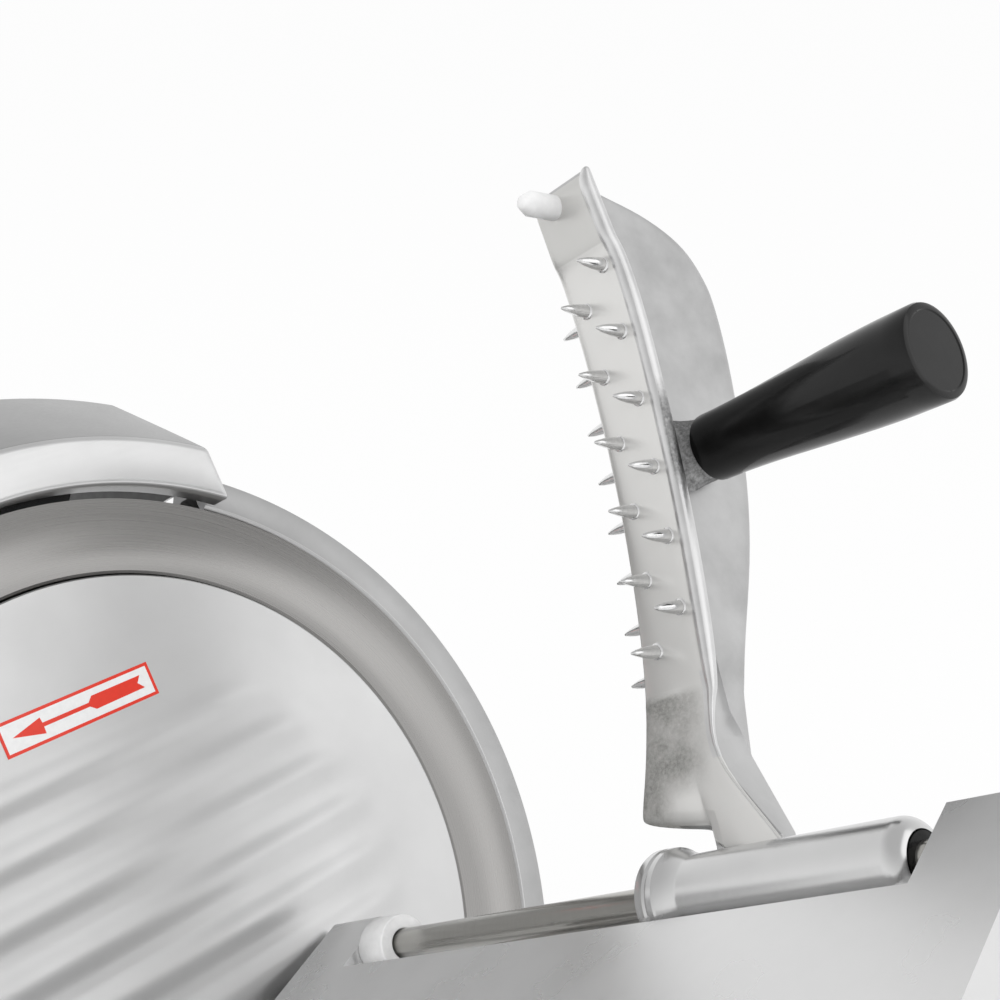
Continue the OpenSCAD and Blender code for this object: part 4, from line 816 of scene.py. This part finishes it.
plate_stations = [(13.0, 38.5, 14.0), (13.9, 39.5, 15.5), (16.5, 40.0, 18.5), (30.0, 41.5, 32.0),
                  (41.0, 42.8, 42.0), (44.2, 43.3, 44.6), (45.0, 43.5, 45.4), (45.8, 43.7, 46.2),
                  (49.0, 44.7, 49.2), (59.0, 48.0, 59.0), (80.0, 57.5, 80.0),
                  (102.0, 63.8, 102.0), (128.0, 66.6, 128.0), (146.0, 67.0, 146.0), (157.8, 65.8, 157.0),
                  (159.2, 64.8, 160.0), (166.0, 61.5, 167.0), (170.5, 55.5, 173.0), (175.2, 43.0, 178.6),
                  (177.8, 30.0, 181.4), (178.8, 28.0, 182.4)]
plate_mesh = bmesh.new()
loft(plate_mesh, [flange_section(*station) for station in plate_stations])


def along_axis(material, point, axis, start, end):
    """Runs from nought to one between two places on one axis of the point's frame."""
    tree = material.node_tree
    place = wire(tree, "SeparateXYZ", point).outputs[axis]
    return wire(tree, "MapRange", place, From_Min=start, From_Max=end).outputs[0]


def joint_mask(material, operation, first, *others):
    """Brings several masks together by one operation."""
    for other in others:
        first = wire(material.node_tree, "Math", first, other, operation=operation).outputs[0]
    return first


# Where the rough patch between the bead and the handle lies: real cast roughness, darkened as painted shade
# of the handle.
rough_shade_low = (90.0, 100.0)
rough_shade_high = (124.0, 116.0)
rough_shade_near = (32.0, 24.0)
rough_shade_behind = (13.55, 14.0)
rough_foot = (22.0, 29.0)


def cast_skin(name, dark, light):
    """Tumbled casting skin in the pusher's frame, left rough where the boss meets the flange, where painted
    shade of the handle darkens it.
    """
    material = finish(name, grey(light), 1.0, 0.34)
    point = local_point(material, pusher_space)
    cloud = grain(material, point, (0.07, 0.07, 0.07), detail=6.0)
    vary(material, "Roughness", cloud, 0.28, 0.4)
    specks = grain(material, point, (0.9, 0.9, 0.9), detail=6.0, rough=0.75)
    low = along_axis(material, point, "Y", *rough_shade_low)
    high = along_axis(material, point, "Y", *rough_shade_high)
    near = along_axis(material, point, "X", *rough_shade_near)
    behind = along_axis(material, point, "X", *rough_shade_behind)
    rough = joint_mask(material, "MULTIPLY", specks, low, high, near, behind)
    clean = wire(material.node_tree, "MapRange", cloud, From_Min=0.3, From_Max=0.7, To_Min=0.2, To_Max=0.0)
    marks_and_shade = joint_mask(material, "MAXIMUM", rough, clean.outputs[0])
    tint(material, marks_and_shade, grey(light), grey(dark), 0.0, 0.6)
    relief(material, rough, 0.25, 0.5)
    return material


cast_polish = cast_skin("cast_polish", 0.2, 0.56)
# The bead's rim takes a brighter copy of the cast skin, a painted highlight along the rounded edge.
rim_painted_highlight = cast_skin("rim_painted_highlight", 0.25, 0.8)

flange_skin = polished("flange_skin", pusher_space, 0.7, (2.5, 0.05, 2.5), 0.3, 0.84)
flange_point = local_point(flange_skin, pusher_space)
rough_mark = grain(flange_skin, flange_point, (0.9, 0.9, 0.9), detail=6.0, rough=0.75)
below_crease = along_axis(flange_skin, flange_point, "Y", crease_l + 2.5, crease_l + 0.5)
above_foot = along_axis(flange_skin, flange_point, "Y", *rough_foot)
left_strip = along_axis(flange_skin, flange_point, "Z", plate_n0 + 9.0, plate_n0 + 2.0)
left_part = along_axis(flange_skin, flange_point, "Z", plate_n0 + 20.5, plate_n0 + 11.5)
rough_part = joint_mask(flange_skin, "MAXIMUM", above_foot, left_strip)
rough_cloud = grain(flange_skin, flange_point, (0.12, 0.12, 0.12), detail=3.0)
flange_tree = flange_skin.node_tree
rough_thick = wire(flange_tree, "MapRange", rough_cloud, From_Min=0.3, From_Max=0.6, To_Min=0.55).outputs[0]
rough_mask = joint_mask(flange_skin, "MULTIPLY", rough_mark, below_crease, left_part, rough_part,
                        rough_thick)
pad_part = along_axis(flange_skin, flange_point, "Y", pad_l + 0.4, pad_l + 0.8)
pad_mask = wire(flange_tree, "MapRange", pad_part, To_Max=0.2).outputs[0]
dull_mask = joint_mask(flange_skin, "MAXIMUM", rough_mask, pad_mask)
tint(flange_skin, dull_mask, (0.72, 0.715, 0.7), (0.25, 0.25, 0.235), 0.0, 0.75)
vary(flange_skin, "Roughness", rough_mask, 0.28, 0.55, 0.0, 0.6)
relief(flange_skin, rough_mask, 0.25, 0.6)

# The boss's rough cast skin, whose dark tones are painted shade under the handle as well as roughness.
rough_shaded_cast = finish("rough_shaded_cast", grey(0.3), 1.0, 0.45)
rough_point = local_point(rough_shaded_cast, pusher_space)
rough_specks = grain(rough_shaded_cast, rough_point, (0.9, 0.9, 0.9), detail=6.0, rough=0.75)
tint(rough_shaded_cast, rough_specks, grey(0.14), grey(0.36))
relief(rough_shaded_cast, rough_specks, 0.2, 0.5)

plate = as_piece(plate_mesh, "pusher_plate", pusher_space, cast_polish, "pusher", "polished_aluminium",
                 "pusher_casting", sharp=60.0)
plate.data.materials.append(flange_skin)
plate.data.materials.append(rim_painted_highlight)
# Faces along the bead get the painted highlight, and those on the spiked side get the flange's skin.
for face, middle in face_middles(plate, pusher_space):
    if middle.z > ridge_n(middle.y) - rim_depth and middle.y > arm_l:
        face.material_index = 2
    elif middle.x < flange_o(middle.y) + skin_depth:
        face.material_index = 1
plate_smooth = plate.modifiers.new("smooth", "SUBSURF")
plate_smooth.levels = 2
plate_smooth.render_levels = 2

# Pusher foot
# The lower part of the same casting: an arm that comes down from the flange, with a gusset between
# them, to a sleeve with a stepped collar, which slides and swings on the rod.
arm_corners = [((14.5, 96.0, 141.0), (15.0, 96.0, 143.0), (22.0, 96.0, 140.3), (20.0, 96.0, 138.0)),
               ((14.0, 80.0, 144.0), (14.8, 80.0, 148.5), (30.0, 80.0, 140.3), (26.0, 80.0, 138.0)),
               ((13.4, 64.0, 146.0), (14.2, 64.0, 151.5), (35.0, 64.0, 140.3), (30.0, 64.0, 138.0)),
               ((12.6, 52.0, 148.0), (12.9, 52.0, 154.0), (35.4, 52.0, 140.3), (30.0, 52.0, 138.0)),
               ((11.2, 41.0, 149.0), (11.0, 41.0, 156.4), (36.0, 42.0, 140.4), (31.0, 42.0, 137.6)),
               ((9.8, 33.0, 149.0), (9.0, 33.0, 156.5), (38.2, 35.0, 141.4), (31.0, 34.0, 138.2)),
               ((8.4, 26.6, 151.0), (7.5, 26.6, 160.3), (36.4, 30.0, 144.2), (29.0, 28.0, 139.5)),
               ((4.9, 9.5, 154.6), (4.6, 9.5, 174.9), (13.0, 9.6, 172.2), (11.0, 9.5, 155.0)),
               ((4.9, 3.0, 154.6), (4.6, 3.0, 177.0), (8.0, 3.0, 172.2), (8.0, 3.0, 155.0))]
arm_round = 0.8
sleeve_r = 9.4
sleeve_bore = 4.6
sleeve_n0 = 142.0
sleeve_n1 = 213.5
sleeve_round = 4.4
sleeve_sink = 5.0
collar_r = 11.6
collar_n = 148.0
cone_n = 152.5
foot_mesh = bmesh.new()
loft(foot_mesh, [[Vector(corner) for corner in corners] for corners in arm_corners])
bmesh.ops.bevel(foot_mesh, geom=foot_mesh.edges[:], offset=arm_round, offset_type="OFFSET", segments=3,
                profile=0.5, affect="EDGES", material=-1, clamp_overlap=True)
sleeve_profile = [(sleeve_bore, sleeve_n0), (collar_r - 0.8, sleeve_n0),
                  (collar_r - 0.2, sleeve_n0 + 0.3), (collar_r, sleeve_n0 + 0.9),
                  (collar_r, sleeve_n0 + 2.6), (collar_r - 0.5, sleeve_n0 + 3.1),
                  (collar_r - 0.5, sleeve_n0 + 3.5), (collar_r, sleeve_n0 + 4.0),
                  (collar_r - 0.1, collar_n - 0.6), (collar_r - 0.7, collar_n),
                  (sleeve_r + 0.1, cone_n), (sleeve_r, cone_n + 0.8)]
for i in range(9):
    a = i * math.pi / 20
    sleeve_profile.append((sleeve_r - sleeve_round * (1 - math.cos(a)),
                           sleeve_n1 - sleeve_round * (1 - math.sin(a))))
sleeve_profile += [(sleeve_r - 2.9, sleeve_n1 - 0.4), (sleeve_r - 3.1, sleeve_n1 - sleeve_sink),
                   (sleeve_bore, sleeve_n1 - sleeve_sink)]
turned(foot_mesh, sleeve_profile, 72)
sleeve_polish = polished("sleeve_polish", pusher_space, 0.68, (0.04, 0.04, 2.5), 0.22)
foot = as_piece(foot_mesh, "pusher_foot", pusher_space, sleeve_polish, "pusher", "polished_aluminium")
foot.data.materials.append(cast_polish)
for face, middle in face_middles(foot, pusher_space):
    if middle.xy.length > collar_r + 0.1:
        face.material_index = 1

# Spikes and rest peg
# Turned steel spikes driven into the flange and the plate, each in a small round seat, and the
# white nylon peg on which the lowered pusher rests.
spike_len = 9.0
spike_profile = [(0.0, -1.5), (2.2, -1.5), (2.2, 0.1), (2.0, 0.3), (1.7, 0.4), (1.65, 1.6), (1.5, 3.4),
                 (1.2, 5.4), (0.8, 7.2), (0.35, spike_len - 0.3), (0.0, spike_len)]
flange_rows = [(57.5, 142.5), (66.2, 152.0)]
spike_pitch = 17.65
spikes_in_row = 6
face_spikes = 8
face_first = 51.8
face_pitch = 13.2
face_behind = 5.0
outward = Matrix.Rotation(-math.pi / 2, 4, "Y")


def stood(bm, profile, steps, stand):
    """Turns a profile about z and stands it in its place."""
    old = set(bm.verts)
    turned(bm, profile, steps, closed=False)
    bmesh.ops.transform(bm, matrix=stand, verts=[vert for vert in bm.verts if vert not in old])


spike_mesh = bmesh.new()
for first, across in flange_rows:
    for i in range(spikes_in_row):
        along = first + i * spike_pitch
        place = Matrix.Translation((flange_o(along), along, across))
        stood(spike_mesh, spike_profile, 20, place @ outward)
for i in range(face_spikes):
    along = face_first + i * face_pitch
    place = Matrix.Translation((flange_o(along) + face_behind, along, plate_n0))
    stood(spike_mesh, spike_profile, 20, place @ Matrix.Rotation(math.pi, 4, "X"))
spike_steel = finish("spike_steel", grey(0.78), 1.0, 0.14)
spike_marks = grain(spike_steel, local_point(spike_steel, pusher_space), (1.5, 1.5, 1.5))
vary(spike_steel, "Roughness", spike_marks, 0.1, 0.2)
tint(spike_steel, spike_marks, grey(0.72), grey(0.84))
as_piece(spike_mesh, "pusher_spike_set", pusher_space, spike_steel, "pusher", "stainless", "pusher_spikes")

peg_l = 173.6
peg_n = 142.7
peg_r = 3.3
peg_len = 10.8
peg_profile = [(0.0, -1.0), (peg_r, -1.0), (peg_r, peg_len - 3.0), (peg_r - 0.3, peg_len - 2.4),
               (1.9, peg_len - 0.4), (1.4, peg_len - 0.1), (0.0, peg_len)]
peg_mesh = bmesh.new()
stood(peg_mesh, peg_profile, 40, Matrix.Translation((flange_o(peg_l), peg_l, peg_n)) @ outward)
as_piece(peg_mesh, "rest_peg", pusher_space, white_nylon, "pusher", "white_nylon", "pusher_peg")

# Handle
# A tapered grip of glossy black moulded plastic, screwed onto a boss of the pusher casting. The boss
# is left rough and leans down into the plate, and its dark tone is painted shade of the handle.
handle_o = 45.5
handle_l = 110.0
handle_n = 145.0
handle_len = 71.0
handle_r0 = 9.1
handle_r1 = 12.2
grip_steps = 16
boss_r = 8.4
boss_base = 4.8
boss_lean = Vector((-8.0, -1.2, 0.0))
handle_space = pusher_space @ Matrix.Translation(Vector((handle_o, handle_l, handle_n)) * MM)
boss_profile = [(0.0, -6.0), (boss_r + 1.6, -boss_base), (boss_r + 0.8, -4.0), (boss_r + 0.3, -2.8),
                (boss_r, -1.4), (boss_r - 0.3, 0.0), (0.0, 0.0)]
boss_mesh = bmesh.new()
turned(boss_mesh, boss_profile, 56, closed=False)
for vert in boss_mesh.verts:
    vert.co += boss_lean * (vert.co.z / boss_base) ** 2
as_piece(boss_mesh, "handle_boss", handle_space, rough_shaded_cast, "pusher", "polished_aluminium")
grip_profile = [(0.0, 0.1), (handle_r0 - 0.8, 0.1), (handle_r0 - 0.1, 0.5), (handle_r0, 1.2)]
for i in range(1, grip_steps + 1):
    t = i / grip_steps
    swell = (handle_r1 - handle_r0) * t * t * (3 - 2 * t)
    grip_profile.append((handle_r0 + swell, 1.2 + t * (handle_len - 8.0)))
grip_profile += [(handle_r1, handle_len - 1.2), (handle_r1 - 0.35, handle_len - 0.35),
                 (handle_r1 - 1.2, handle_len), (handle_r1 - 2.0, handle_len),
                 (handle_r1 - 2.3, handle_len - 0.25), (0.0, handle_len - 0.25)]
grip_mesh = bmesh.new()
turned(grip_mesh, grip_profile, 96, closed=False)
as_piece(grip_mesh, "handle_grip", handle_space, black_plastic, "pusher", "black_plastic", "pusher_handle")
